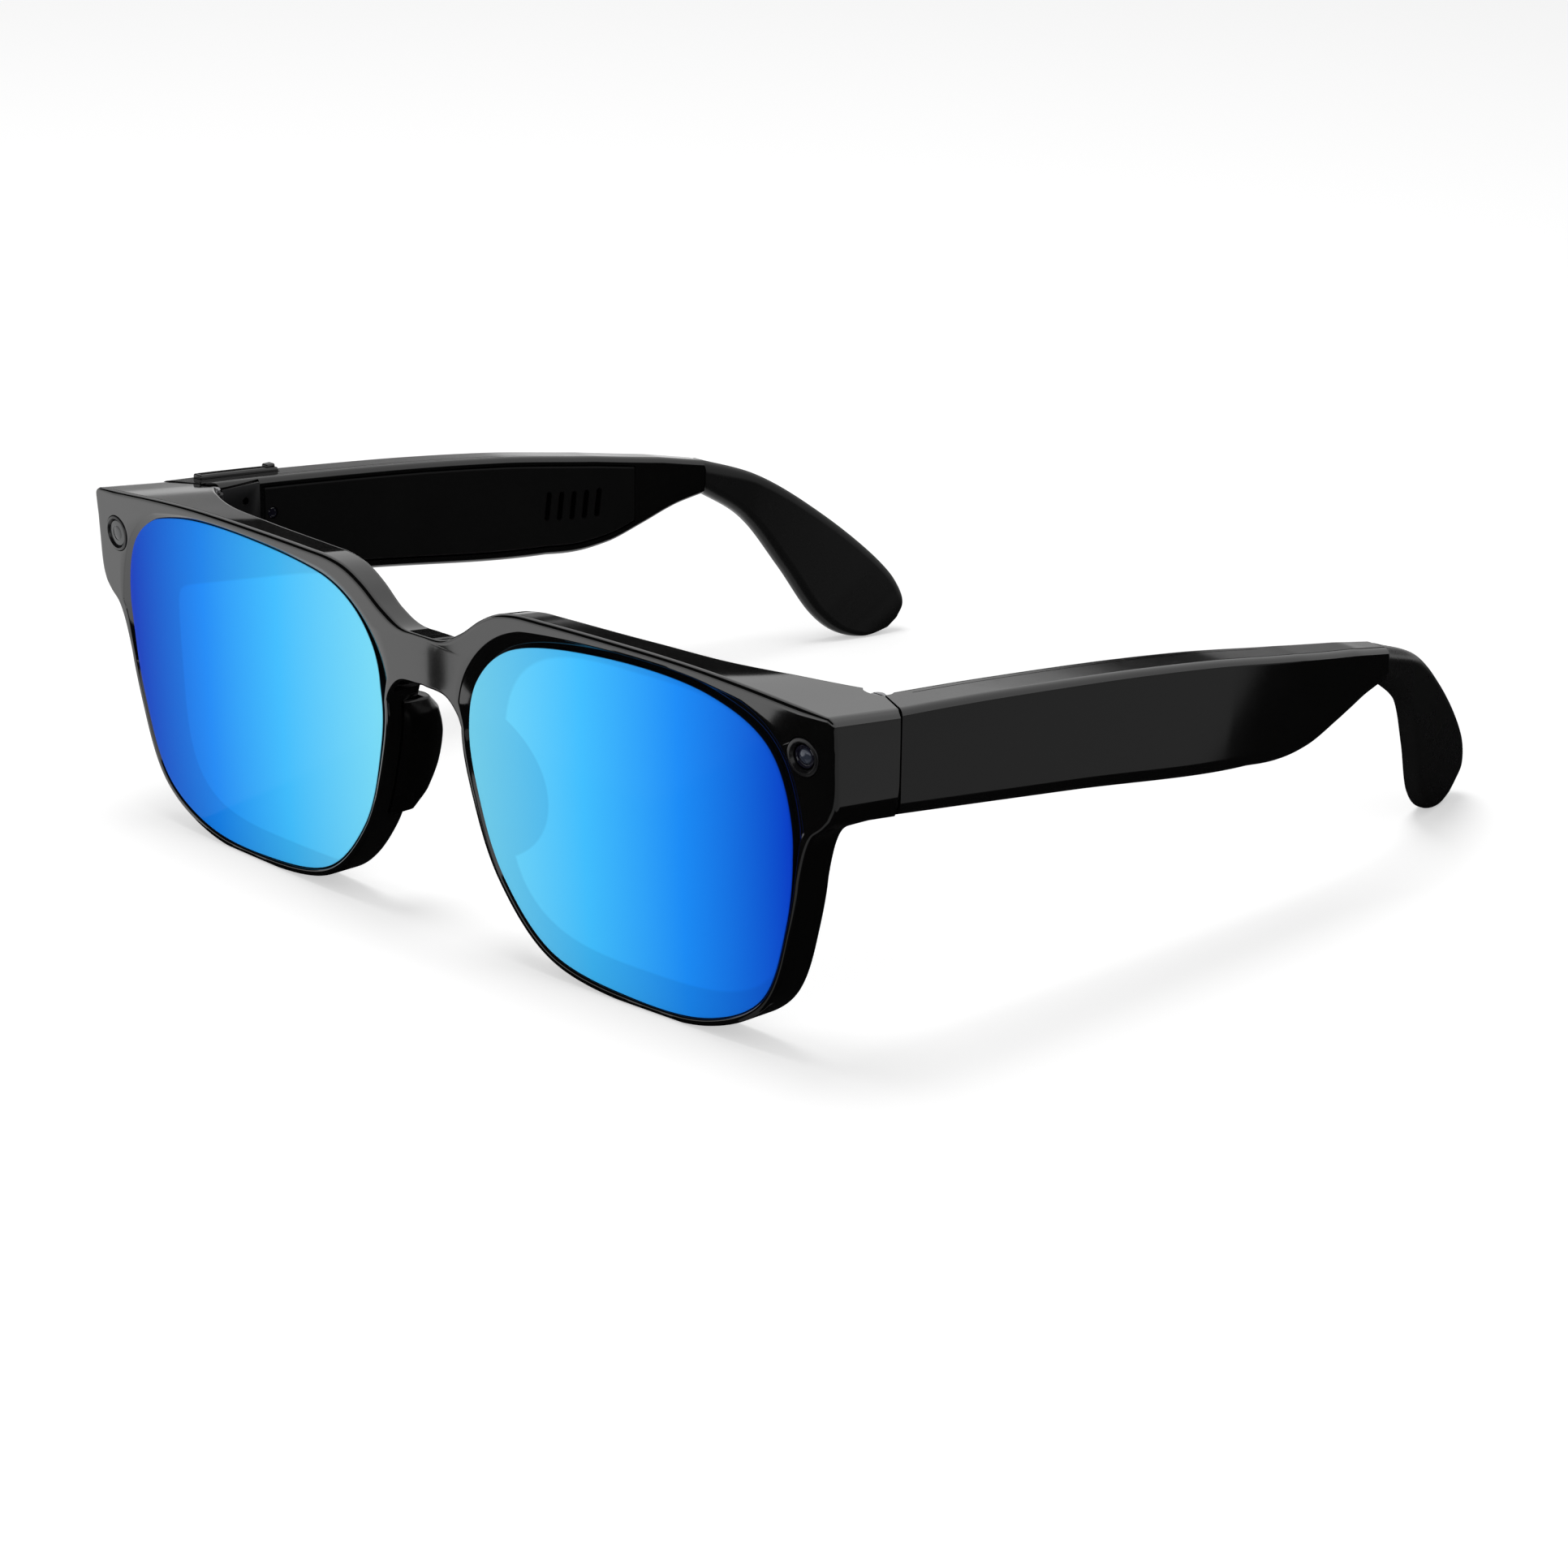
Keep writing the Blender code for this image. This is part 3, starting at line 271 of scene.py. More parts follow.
def nodeGroup(name, inputs, outputs):
    group = bpy.data.node_groups.new(name, "ShaderNodeTree")
    for label, kind, value in inputs:
        socket = group.interface.new_socket(label, in_out="INPUT", socket_type=kind)
        if value is not None:
            socket.default_value = value
    for label, kind in outputs:
        group.interface.new_socket(label, in_out="OUTPUT", socket_type=kind)
    return group, group.nodes.new("NodeGroupInput"), group.nodes.new("NodeGroupOutput")


def noiseNode(tree, vector, scale, detail=3.0, rough=0.55):
    noise = tree.nodes.new("ShaderNodeTexNoise")
    noise.inputs["Scale"].default_value = scale
    noise.inputs["Detail"].default_value = detail
    noise.inputs["Roughness"].default_value = rough
    tree.links.new(vector, noise.inputs["Vector"])
    return noise.outputs["Fac"]


def feed(tree, socket, value):
    if isinstance(value, (int, float, tuple)):
        socket.default_value = value
    else:
        tree.links.new(value, socket)


def mathNode(tree, operation, first, second=None, third=None, clamp=False):
    node = tree.nodes.new("ShaderNodeMath")
    node.operation, node.use_clamp = operation, clamp
    for socket, value in zip(node.inputs, (first, second, third)):
        if value is not None:
            feed(tree, socket, value)
    return node.outputs[0]


def mixColours(tree, share, first, second):
    node = tree.nodes.new("ShaderNodeMix")
    node.data_type = "RGBA"
    for index, value in ((0, share), (6, first), (7, second)):
        feed(tree, node.inputs[index], value)
    return node.outputs[2]


def mapRange(tree, value, low, high, toLow=0.0, toHigh=1.0, smooth=True):
    node = tree.nodes.new("ShaderNodeMapRange")
    node.interpolation_type = "SMOOTHSTEP" if smooth else "LINEAR"
    for socket, number in zip(list(node.inputs)[1:5], (low, high, toLow, toHigh)):
        socket.default_value = number
    tree.links.new(value, node.inputs["Value"])
    return node.outputs["Result"]


# noise scales of the marks that handling and moulding leave
markScales = {"cloud": 38.0, "speck": 900.0, "fine": 5200.0, "wave": 160.0}


def handlingMarks():
    # faint smears, dust and moulding texture, as a roughness and a height
    group, given, out = nodeGroup(
        "handlingMarks",
        [("Vector", "NodeSocketVector", None), ("Rough", "NodeSocketFloat", 0.1),
         ("Smear", "NodeSocketFloat", 0.05), ("Grain", "NodeSocketFloat", 0.5)],
        [("Roughness", "NodeSocketFloat"), ("Height", "NodeSocketFloat"), ("Cloud", "NodeSocketFloat")],
    )
    place = given.outputs["Vector"]
    cloud = noiseNode(group, place, markScales["cloud"], 4.0, 0.6)
    smear = mapRange(group, cloud, 0.35, 0.75)
    speck = mapRange(group, noiseNode(group, place, markScales["speck"], 2.0), 0.62, 0.78)
    worn = mathNode(group, "MULTIPLY", mathNode(group, "ADD", smear, speck), given.outputs["Smear"])
    rough = mathNode(group, "ADD", given.outputs["Rough"], worn, clamp=True)
    fine = noiseNode(group, place, markScales["fine"], 2.0)
    wave = noiseNode(group, place, markScales["wave"], 1.0)
    height = mathNode(group, "MULTIPLY_ADD", fine, given.outputs["Grain"], wave)
    group.links.new(rough, out.inputs["Roughness"])
    group.links.new(height, out.inputs["Height"])
    group.links.new(cloud, out.inputs["Cloud"])
    return group


marksGroup = handlingMarks()


def placeMarks(material, place, rough, smear, grain):
    tree = material.node_tree
    node = tree.nodes.new("ShaderNodeGroup")
    node.node_tree = marksGroup
    tree.links.new(place, node.inputs["Vector"])
    node.inputs["Rough"].default_value = rough
    node.inputs["Smear"].default_value = smear
    node.inputs["Grain"].default_value = grain
    return node.outputs


def plainFinish(name, values):
    # moulded plastic or metal with two close shades, smears and a fine grain
    made, nodes, links, shader, place = newMaterial(name)
    marks = placeMarks(made, place, values["rough"], values["smear"], values["grain"])
    shade = mixColours(made.node_tree, marks["Cloud"], toLinear(*values["dark"]), toLinear(*values["light"]))
    links.new(shade, shader.inputs["Base Color"])
    links.new(marks["Roughness"], shader.inputs["Roughness"])
    shader.inputs["Metallic"].default_value = values.get("metal", 0.0)
    shader.inputs["Specular IOR Level"].default_value = values.get("specular", 0.5)
    shader.inputs["Coat Weight"].default_value = values.get("coat", 0.0)
    shader.inputs["Coat Roughness"].default_value = 0.04
    bump = nodes.new("ShaderNodeBump")
    bump.inputs["Strength"].default_value = values["bump"]
    bump.inputs["Distance"].default_value = 0.1 * mm
    links.new(marks["Height"], bump.inputs["Height"])
    links.new(bump.outputs["Normal"], shader.inputs["Normal"])
    return made


finishes = {
    "frontGloss": {"dark": (3, 3, 3), "light": (7, 7, 7), "rough": 0.055, "smear": 0.03, "grain": 0.1, "bump": 0.012,
                   "specular": 1.0},
    "templeGloss": {"dark": (6, 6, 6), "light": (11, 11, 11), "rough": 0.09, "smear": 0.05, "grain": 0.2,
                    "bump": 0.015, "specular": 0.72},
    "tipGloss": {"dark": (19, 19, 19), "light": (24, 24, 24), "rough": 0.26, "smear": 0.06, "grain": 0.2,
                 "bump": 0.004, "specular": 0.2},
    "coverMatt": {"dark": (3, 3, 3), "light": (6, 6, 6), "rough": 0.42, "smear": 0.05, "grain": 1.0,
                  "bump": 0.12, "specular": 0.12},
    "padSatin": {"dark": (2, 2, 2), "light": (5, 5, 5), "rough": 0.2, "smear": 0.06, "grain": 0.6, "bump": 0.05},
    "ringSatin": {"dark": (10, 10, 11), "light": (18, 18, 19), "rough": 0.24, "smear": 0.08, "grain": 0.5,
                  "bump": 0.05},
    "barrelMatt": {"dark": (5, 5, 5), "light": (11, 11, 11), "rough": 0.55, "smear": 0.05, "grain": 1.0, "bump": 0.1},
    "lensGlass": {"dark": (9, 9, 16), "light": (22, 21, 34), "rough": 0.03, "smear": 0.02, "grain": 0.05,
                  "bump": 0.0, "coat": 1.0},
    "eyeCoating": {"dark": (34, 38, 48), "light": (66, 72, 86), "rough": 0.06, "smear": 0.03, "grain": 0.05,
                   "bump": 0.0, "metal": 0.4, "coat": 0.5},
    "lampWindow": {"dark": (28, 31, 32), "light": (42, 45, 46), "rough": 0.16, "smear": 0.05, "grain": 0.2,
                   "bump": 0.02, "coat": 0.3},
    "hingeSteel": {"dark": (142, 142, 145), "light": (186, 186, 188), "rough": 0.28, "smear": 0.12, "grain": 0.8,
                   "bump": 0.08, "metal": 1.0},
    "hingeBlack": {"dark": (20, 20, 21), "light": (38, 38, 40), "rough": 0.32, "smear": 0.12, "grain": 0.8,
                   "bump": 0.08, "metal": 0.7},
    "boardMask": {"dark": (12, 62, 32), "light": (24, 92, 48), "rough": 0.4, "smear": 0.1, "grain": 0.6, "bump": 0.1},
    "cellFoil": {"dark": (168, 168, 172), "light": (204, 204, 206), "rough": 0.35, "smear": 0.15, "grain": 0.8,
                 "bump": 0.1, "metal": 0.8},
    "speakerMatt": {"dark": (14, 14, 14), "light": (26, 26, 26), "rough": 0.6, "smear": 0.1, "grain": 1.0,
                    "bump": 0.15},
    "contactGold": {"dark": (196, 150, 70), "light": (226, 184, 104), "rough": 0.22, "smear": 0.12, "grain": 0.5,
                    "bump": 0.06, "metal": 1.0},
}
looks = {name: plainFinish(name, values) for name, values in finishes.items()}
print("finishes made:", len(looks))


# face of the glasses

face = {
    "lensHalfWidth": 29.0, "lensHalfHeight": 23.0, "noseHalfGap": 8.85, "endWidth": 7.45,
    "faceY": -73.81, "wrapRadius": 890.0, "tilt": 0.056,
    "rimWidth": 1.5, "rimFoot": 0.14, "rimDepth": 5.6, "bridgeDepth": 4.4,
    "rimEdge": 0.45, "browEdge": 0.8, "browRise": 2.5, "bridgeRise": 11.14, "bridgeHeight": 7.1,
    "bevelWidth": 2.0, "bevelShare": 0.45, "bevelDepth": 0.9, "lipDepth": 0.1, "lipRound": 0.12,
    "grooveFront": 1.3, "grooveDepth": 0.7, "backRound": 0.4,
    "endHeight": 14.2, "endDrop": 2.1, "topSlope": 0.115, "endStep": 1.0,
    "gap": 0.25, "swing": 1.95,
}
# lens edge as shares of its half sizes, from the nose over the top
lensOutline = [
    (-1.0, 0.30), (-0.93, 0.62), (-0.70, 0.87), (-0.10, 1.0), (0.55, 0.96), (0.87, 0.77), (1.0, 0.33),
    (0.93, -0.30), (0.77, -0.76), (0.46, -0.96), (0.0, -1.0), (-0.50, -0.90), (-0.80, -0.54), (-0.95, -0.08),
]
# outer edge of the front, as shares of the sizes of the bridge, the brow and the end
edgeRows = {
    "arch": ((0.757, 0.233), (0.52, 0.054)),
    "brow": ((0.055, 0.03), (0.108, 0.28), (0.16, 0.64), (0.205, 0.86), (0.25, 0.955), (0.33, 0.985), (0.49, 1.0)),
    "browEnd": ((0.66, 0.07), (0.79, 0.357), (0.92, 0.786)),
    "side": ((0.134, 0.0), (0.02, 0.042), (0.0, 0.141), (0.0, 0.48), (0.04, 0.859), (0.16, 1.0)),
    "notch": ((0.174, 0.0), (0.322, 0.077), (0.523, 0.162), (0.671, 0.303)),
}
# where the brow wraps into the ends and where its top falls more steeply, as shares of the half width
brow = {"wrapFrom": 0.33, "wrapRun": 0.6, "steepAt": 0.66, "steepRun": 0.14, "steepBy": 0.28}
hinge = {
    "inset": 7.5, "setback": 16.05, "drop": 8.46, "barrel": 1.45, "barrelHeight": 2.2, "pin": 0.6,
    "pinGap": 0.12, "pinHead": 1.05, "leaf": 1.1, "leafLength": 7.0, "screw": 0.55, "buttSlope": 0.5, "buttFlat": 0.7,
    "block": [(0.42, 0.3), (0.55, 1.2), (0.75, 1.9), (1.2, 2.35)],
}
gap = face["gap"]
centreX = face["noseHalfGap"] + face["lensHalfWidth"]
centreZ = face["rimWidth"] + face["lensHalfHeight"] - face["rimFoot"]
halfWidth = centreX + face["lensHalfWidth"] + face["endWidth"]
bridgeLow = centreZ + face["bridgeRise"]
bridgeTop = bridgeLow + face["bridgeHeight"]
browTop = centreZ + face["lensHalfHeight"] + face["browRise"]
endTop = browTop - face["endDrop"]
endLow = endTop - face["endHeight"]
grooveRear = face["grooveFront"] + 2.0 + 2 * gap
hingeX = halfWidth - hinge["inset"]
hingeY = face["faceY"] + hinge["setback"]
hingeZ = endTop - hinge["drop"]
stackHeight = 5 * hinge["barrelHeight"] + 4 * gap
rimStart, rimCount = 6.6, 170  # where the notch ends on the lens edge, and places along the rim after it
# runs of the outer edge: places along it, and start and end of the lens edge it is joined to
edgeRuns = (
    ("arch", 29, 0.0, 0.9), ("bridge", 13, 0.9, 1.2), ("brow", 141, 1.2, 5.0), ("side", 49, 5.0, 5.9),
    ("notch", 43, 5.9, rimStart),
)


def faceY(x, z):
    return face["faceY"] + x * x / (2 * face["wrapRadius"]) - face["tilt"] * (z - centreZ + face["lensHalfHeight"])


def faceMatrix(x, z, depth=0.0):
    normal = Vector((x / face["wrapRadius"], -1.0, -face["tilt"])).normalized()
    up = normal.cross(Vector((1, 0, 0))).normalized()
    across = up.cross(normal).normalized()
    turn = Matrix((across, up, normal)).transposed().to_4x4()
    return Matrix.Translation(Vector((x, faceY(x, z), z)) - normal * depth) @ turn


def lensPoint(t):
    u, v = smoothPoint(lensOutline, t, True)
    return Vector((centreX + u * face["lensHalfWidth"], centreZ + v * face["lensHalfHeight"]))


def lensNormal(t):
    run = lensPoint(t + 0.02) - lensPoint(t - 0.02)
    return Vector((-run.y, run.x)).normalized()


def rimPoint(t):
    point = lensPoint(t) + lensNormal(t) * face["rimWidth"]
    return Vector((point.x, max(point.y, 0.0)))


def frontRuns():
    gapX, endX, endZ, lift = face["noseHalfGap"], face["endWidth"], face["endHeight"], browTop - bridgeTop
    arch = [(x * gapX, bridgeLow - z * face["bridgeRise"]) for x, z in edgeRows["arch"]]
    arch = [rimPoint(0)] + arch + [(0, bridgeLow)]
    bridge = [(0, bridgeLow), (0, (bridgeLow + bridgeTop) / 2), (0, bridgeTop)]
    side = [(halfWidth - x * endX, endTop - z * endZ) for x, z in edgeRows["side"]]
    over = [(0, bridgeTop)] + [(x * halfWidth, bridgeTop + z * lift) for x, z in edgeRows["brow"]]
    over += [(x * halfWidth, browTop - z * face["endDrop"]) for x, z in edgeRows["browEnd"]] + side[:1]
    notch = [(halfWidth - x * endX, endLow - z * endZ) for x, z in edgeRows["notch"]]
    notch += [rimPoint(rimStart - 0.12), rimPoint(rimStart)]
    made = []
    for (kind, count, start, end), points in zip(edgeRuns, (arch, bridge, over, side, notch)):
        made.append((kind, evenRun(points, count), start, end))
    return made


def nearestShare(point, start, end):
    return min(spread(start, end, 160), key=lambda t: (lensPoint(t) - point).length)


def frontStations():
    # each place on the outer edge with the place on the lens edge that it is joined to
    made = []
    for kind, points, start, end in frontRuns():
        last = len(points) - 1
        for i, point in enumerate(points[:-1]):
            t = start + (end - start) * i / last
            if kind in ("brow", "notch"):
                t = 0.15 * t + 0.85 * nearestShare(Vector(point), start, end)
            made.append((kind, i / last, t, Vector(point)))
    for i in range(rimCount):
        t = rimStart + (len(lensOutline) - rimStart) * i / rimCount
        made.append(("rim", i / rimCount, t, rimPoint(t)))
    shares = [row[2] for row in made]
    eased = []
    for i, (kind, share, t, point) in enumerate(made):
        if kind in ("brow", "side", "notch"):
            t = min(sum(shares[i - 6:i + 7]) / 13, rimStart - 0.004 * (len(made) - rimCount - i))
            t = max(t, eased[-1][2] + 0.002)
        eased.append((kind, share, t, point))
    return eased


stations = frontStations()


def quarter(centre, first, second, radius, count=7):
    # quarter circle in the plane of the section, from the first direction to the second
    made = []
    for k in range(count + 1):
        angle = 0.5 * math.pi * k / count
        made.append((centre[0] + first * radius * math.sin(angle), centre[1] + second * radius * math.cos(angle)))
    return made


def upperShare(kind, share):
    # 1 along the brow and the end, fading out down the notch
    if kind == "notch":
        return max(0.0, 1.0 - 6 * share)
    return 1.0 if kind in ("brow", "side") else 0.0


def browForm(kind, share, x):
    # how far a place belongs to the end block, and how its top falls behind it
    upper = upperShare(kind, share)
    if kind != "brow":
        return upper, face["topSlope"] * upper
    steep = max(0.0, 1.0 - abs(x / halfWidth - brow["steepAt"]) / brow["steepRun"])
    wrap = unit((x / halfWidth - brow["wrapFrom"]) / brow["wrapRun"]) ** 3
    return wrap, face["topSlope"] * (1.0 + brow["steepBy"] * smoothShare(steep))


def sectionDepth(kind, x, endShare):
    # thinner at the bridge, as deep as the hinge at the ends
    inward = 1.0
    if kind in ("arch", "bridge"):
        inward = min(1.0, x / (0.79 * face["noseHalfGap"]))
    elif kind in ("brow", "side"):
        inward = unit((x / face["noseHalfGap"] - 0.904) / 1.356)
    depth = face["bridgeDepth"] + (face["rimDepth"] - face["bridgeDepth"]) * inward
    return depth + (hinge["setback"] + 3 - depth) * endShare


def bevelAt(t, edge):
    return min(face["bevelWidth"], face["bevelShare"] * (edge - lensPoint(t)).length)


def frontSection(kind, share, t, edge, normal, radius):
    # from the lens over the bevel, the front and the outer edge, and along the back to the groove
    glass, out = lensPoint(t), lensNormal(t)
    atStart = share == 0
    if kind == "bridge":
        normal = Vector((0, -1)) if atStart else Vector((-1, 0))
    if kind == "brow" and atStart:
        normal = Vector((0, 1))
    endShare, drop = browForm(kind, share, edge.x)
    depth, bevel = sectionDepth(kind, edge.x, endShare), bevelAt(t, edge)
    hold = 0.2 * radius
    inset = edge - normal * (radius + hold)
    if kind == "bridge" and not atStart:
        inset = edge
        edgeRun = [(edge, depth * k / 19) for k in range(20)]
    else:
        front, rear = (edge - normal * radius, radius), (edge - normal * radius, depth - radius)
        edgeRun = [(inset, 0.0)] + quarter(front, normal, -1, radius)
        edgeRun += [(edge, radius + hold), (edge, depth - radius - hold)]
        edgeRun += list(reversed(quarter(rear, normal, 1, radius))) + [(inset, depth)]
    lip, soft, low = face["lipDepth"], face["lipRound"], 0.3 * face["lipDepth"]
    foot = glass + out * (bevel + soft)
    section = [
        (glass, face["bevelDepth"], 0.0),
        (glass + out * (bevel - soft), lip + soft * (face["bevelDepth"] - lip) / bevel, 0.0),
        (glass + out * (bevel - soft / 3), 1.25 * lip, 0.0), (glass + out * (bevel + soft / 3), 0.6 * lip, 0.0),
        (foot, low, 0.0),
    ]
    section += [(foot.lerp(inset, f), low * (1 - f), 0.0) for f in (0.2, 0.4, 0.6, 0.8)]
    section += [(place, d, drop) for place, d in edgeRun]
    back = glass + out * 0.52
    block = glass + out * min(1.73 * face["rimWidth"], 0.35 * (edge - glass).length)
    for f in (0.9, 0.75, 0.6, 0.45):
        level = face["rimDepth"] + (depth - face["rimDepth"]) * smoothShare(f)
        wall = block.lerp(inset, (f - 0.45) / 0.55)
        place = back.lerp(inset, f).lerp(wall, endShare)
        section.append((place, level + (depth - level) * endShare, f * drop))
    soft = face["backRound"]
    inner = (glass + out * soft, face["rimDepth"] - soft)
    section += [(place, d, 0.0) for place, d in quarter(inner, -out, 1, soft, 4)]
    groove = glass + out * face["grooveDepth"]
    section += [
        (glass, grooveRear, 0.0), (groove, grooveRear, 0.0),
        (groove, face["grooveFront"], 0.0), (glass, face["grooveFront"], 0.0),
    ]
    return [Vector((p.x, faceY(p.x, p.y) + d, p.y - fall * d)) for p, d, fall in section]


def edgeRadii():
    # rounding of the outer edge, kept below the outline's own radius at tight outer corners
    count, wanted = len(stations), []
    for i, (kind, share, _, edge) in enumerate(stations):
        radius = face["rimEdge"] + (face["browEdge"] - face["rimEdge"]) * upperShare(kind, share)
        before, after = edge - stations[i - 2][3], stations[(i + 2) % count][3] - edge
        turn = before.angle_signed(after, 0.0) if before.length > 1e-6 and after.length > 1e-6 else 0.0
        if kind != "bridge" and turn > 0.01:
            radius = min(radius, 0.24 * (before.length + after.length) / turn)
        wanted.append(max(radius, 0.2))
    least = [min(wanted[(i + k) % count] for k in range(-6, 7)) for i in range(count)]
    return [sum(least[(i + k) % count] for k in range(-4, 5)) / 9 for i in range(count)]


def frontBody():
    radii, count, rings = edgeRadii(), len(stations), []
    for i, (kind, share, t, edge) in enumerate(stations):
        run = stations[(i + 1) % count][3] - stations[i - 1][3]
        normal = Vector((-run.y, run.x)).normalized()
        rings.append(frontSection(kind, share, t, edge, normal, radii[i]))
    bm = bridgeRings(rings, closed=True)
    flat = [f for f in bm.faces if all(abs(v.co.x) < 1e-4 for v in f.verts)]
    bmesh.ops.delete(bm, geom=flat, context="FACES")
    bmesh.ops.mirror(
        bm, geom=bm.verts[:] + bm.edges[:] + bm.faces[:], matrix=Matrix.Identity(4), merge_dist=1e-3, axis="X"
    )
    bmesh.ops.remove_doubles(bm, verts=[v for v in bm.verts if abs(v.co.x) < 1e-3], dist=1e-3)
    bmesh.ops.delete(bm, geom=[v for v in bm.verts if not v.link_faces], context="VERTS")
    bmesh.ops.recalc_face_normals(bm, faces=bm.faces)
    return bm


def pinAt(sign):
    return Vector((sign * hingeX, hingeY, hingeZ))


def atHinge(sign, points):
    return [Vector((sign * (hingeX + p.x), hingeY + p.y, hingeZ + p.z)) for p in points]


def prismAt(sign, outline, reach):
    return bridgeRings([atHinge(sign, [Vector((x, y, z)) for x, y in outline]) for z in (-reach, reach)])


def buttLine(x):
    return -hinge["buttSlope"] * max(0.0, x - hinge["buttFlat"])


def endCuts(sign):
    # the block that carries the hinge, the butt face, the room for the barrels and the pocket for the leaf
    rows, rings = hinge["block"], []
    for depth in spread(rows[0][0], rows[-1][0], 24):
        y = face["faceY"] + hinge["setback"] * depth - hingeY
        drop = face["topSlope"] * hinge["setback"] * depth
        low = (y, endLow + 0.7 - drop - hingeZ)
        high = (y, endTop - 0.6 - drop - hingeZ)
        ring = roundedRing(low, high, 4.6, -runValue(rows, depth), (0.3, 1.2, 1.2, 0.3))
        rings.append(atHinge(sign, ring))
    reach, swing, step, flat = 16, face["swing"], face["endStep"], hinge["buttFlat"]
    rear = [
        (-reach, -step), (flat, -step), (flat, -gap), (reach, buttLine(reach) - gap), (reach, reach), (-reach, reach),
    ]
    length = hinge["leafLength"] + swing + gap
    pocket = roundBox(
        (hinge["leaf"] + 2 * gap, length, stackHeight + 2 * gap), (sign * hingeX, hingeY - length / 2, hingeZ)
    )
    return [
        ("UNION", bridgeRings(rings)), ("DIFFERENCE", prismAt(sign, rear, reach)),
        ("DIFFERENCE", roundRod(swing, 64, 48, pinAt(sign))), ("DIFFERENCE", pocket),
    ]


# camera in the left end and light in the right one
module = {"inset": 5.1, "drop": 5.96, "bezel": 2.55, "window": 1.5, "eye": 1.02, "disc": 1.86}
moduleX, moduleZ = halfWidth - module["inset"], endTop - module["drop"]
contact = {"radius": 1.0, "side": 2.4, "depth": 0.3}
contactZ = bridgeLow + 0.5 * face["bridgeHeight"]


def buildFront():
    steps = []
    for sign, _ in sides:
        steps += endCuts(sign)
        room = roundRod(module["bezel"] + 0.4 * gap, 14, 72)
        steps.append(("DIFFERENCE", moved(room, faceMatrix(sign * moduleX, moduleZ))))
        room = roundRod(contact["radius"] + gap, 1.4, 40)
        place = faceMatrix(sign * contact["side"], contactZ, face["bridgeDepth"] + contact["depth"])
        steps.append(("DIFFERENCE", moved(room, place)))
    bm = carve(frontBody(), steps)
    finishPiece("frontMoulding", bm, looks["frontGloss"], "front", ["front_frame"])


buildFront()
print("front moulding done")


# lenses

lens = {
    "rings": 24, "around": 220, "bulge": 0.45, "thickness": 2.0, "clear": 0.06, "rise": 0.2,
    "nose": (124, 220, 246), "middle": (66, 190, 254), "deep": (28, 140, 246), "outer": (10, 60, 196),
    # the dark blue on the next line is a painted reflection of the rim, mixed in at the share that follows it
    "stops": (0.38, 0.68), "rear": (13, 17, 24), "paintedReflection": (4, 40, 120), "paintedReflectionShare": 0.15,
    "rough": 0.08, "smear": 0.05, "grain": 0.05, "glint": (70, 160, 255), "specular": 0.03,
    "edge": ((0.0, 0.14), (0.02, 0.06), (0.07, 0.015), (0.15, 0.0)),
    # how far the front fills the rim's bevel: along the narrow rim, and under the brow
    "fill": [(6.3, 0.0), (6.8, 0.8), (7.4, 1.0), (8.8, 1.0), (10.4, 0.8), (12.5, 0.72), (13.2, 0.35), (13.9, 0.0)],
    "browFill": [(0.2, 0.0), (1.6, 1.0), (5.2, 1.0), (6.4, 0.0)], "browShare": {"Left": 0.0, "Right": 0.8},
}
# painted reflection of the rim in each lens: middle and half sizes as shares of the lens, seen from in front
paintedRimReflections = {
    "Left": {"middle": (0.12, 0.08), "half": (0.87, 0.89), "power": 3.2, "bite": (-1.05, 0.03, 0.58, 0.5)},
    "Right": {"middle": (0.3, 0.08), "half": (0.87, 0.92), "power": 4.0, "slant": (0.36, 0.77)},
}


def ovalNode(tree, across, up, middle, half, power):
    parts = []
    for value, centre, size in zip((across, up), middle, half):
        part = mathNode(tree, "MULTIPLY_ADD", value, 1 / size, -centre / size)
        parts.append(mathNode(tree, "POWER", mathNode(tree, "ABSOLUTE", part), power))
    return mathNode(tree, "ADD", parts[0], parts[1])


# painted reflection of the rim: how much of a dark blue oval is mixed into the lens colour
def paintedReflectionShare(tree, across, up, values):
    oval = ovalNode(tree, across, up, values["middle"], values["half"], values["power"])
    if "slant" in values:
        slope, level = values["slant"]
        above = mathNode(tree, "MULTIPLY_ADD", across, -slope, up)
        above = mathNode(tree, "MULTIPLY_ADD", above, 4.0, 1 - 4.0 * level)
        oval = mathNode(tree, "SMOOTH_MAX", oval, above, 0.5)  # rounds the corner
    paintedReflection = mapRange(tree, oval, 0.96, 1.04)
    if "bite" in values:
        x, z, wide, tall = values["bite"]
        bite = mapRange(tree, ovalNode(tree, across, up, (x, z), (wide, tall), 2.0), 1.03, 0.97)
        paintedReflection = mathNode(tree, "MAXIMUM", paintedReflection, bite)
    return mathNode(tree, "MULTIPLY", paintedReflection, lens["paintedReflectionShare"])


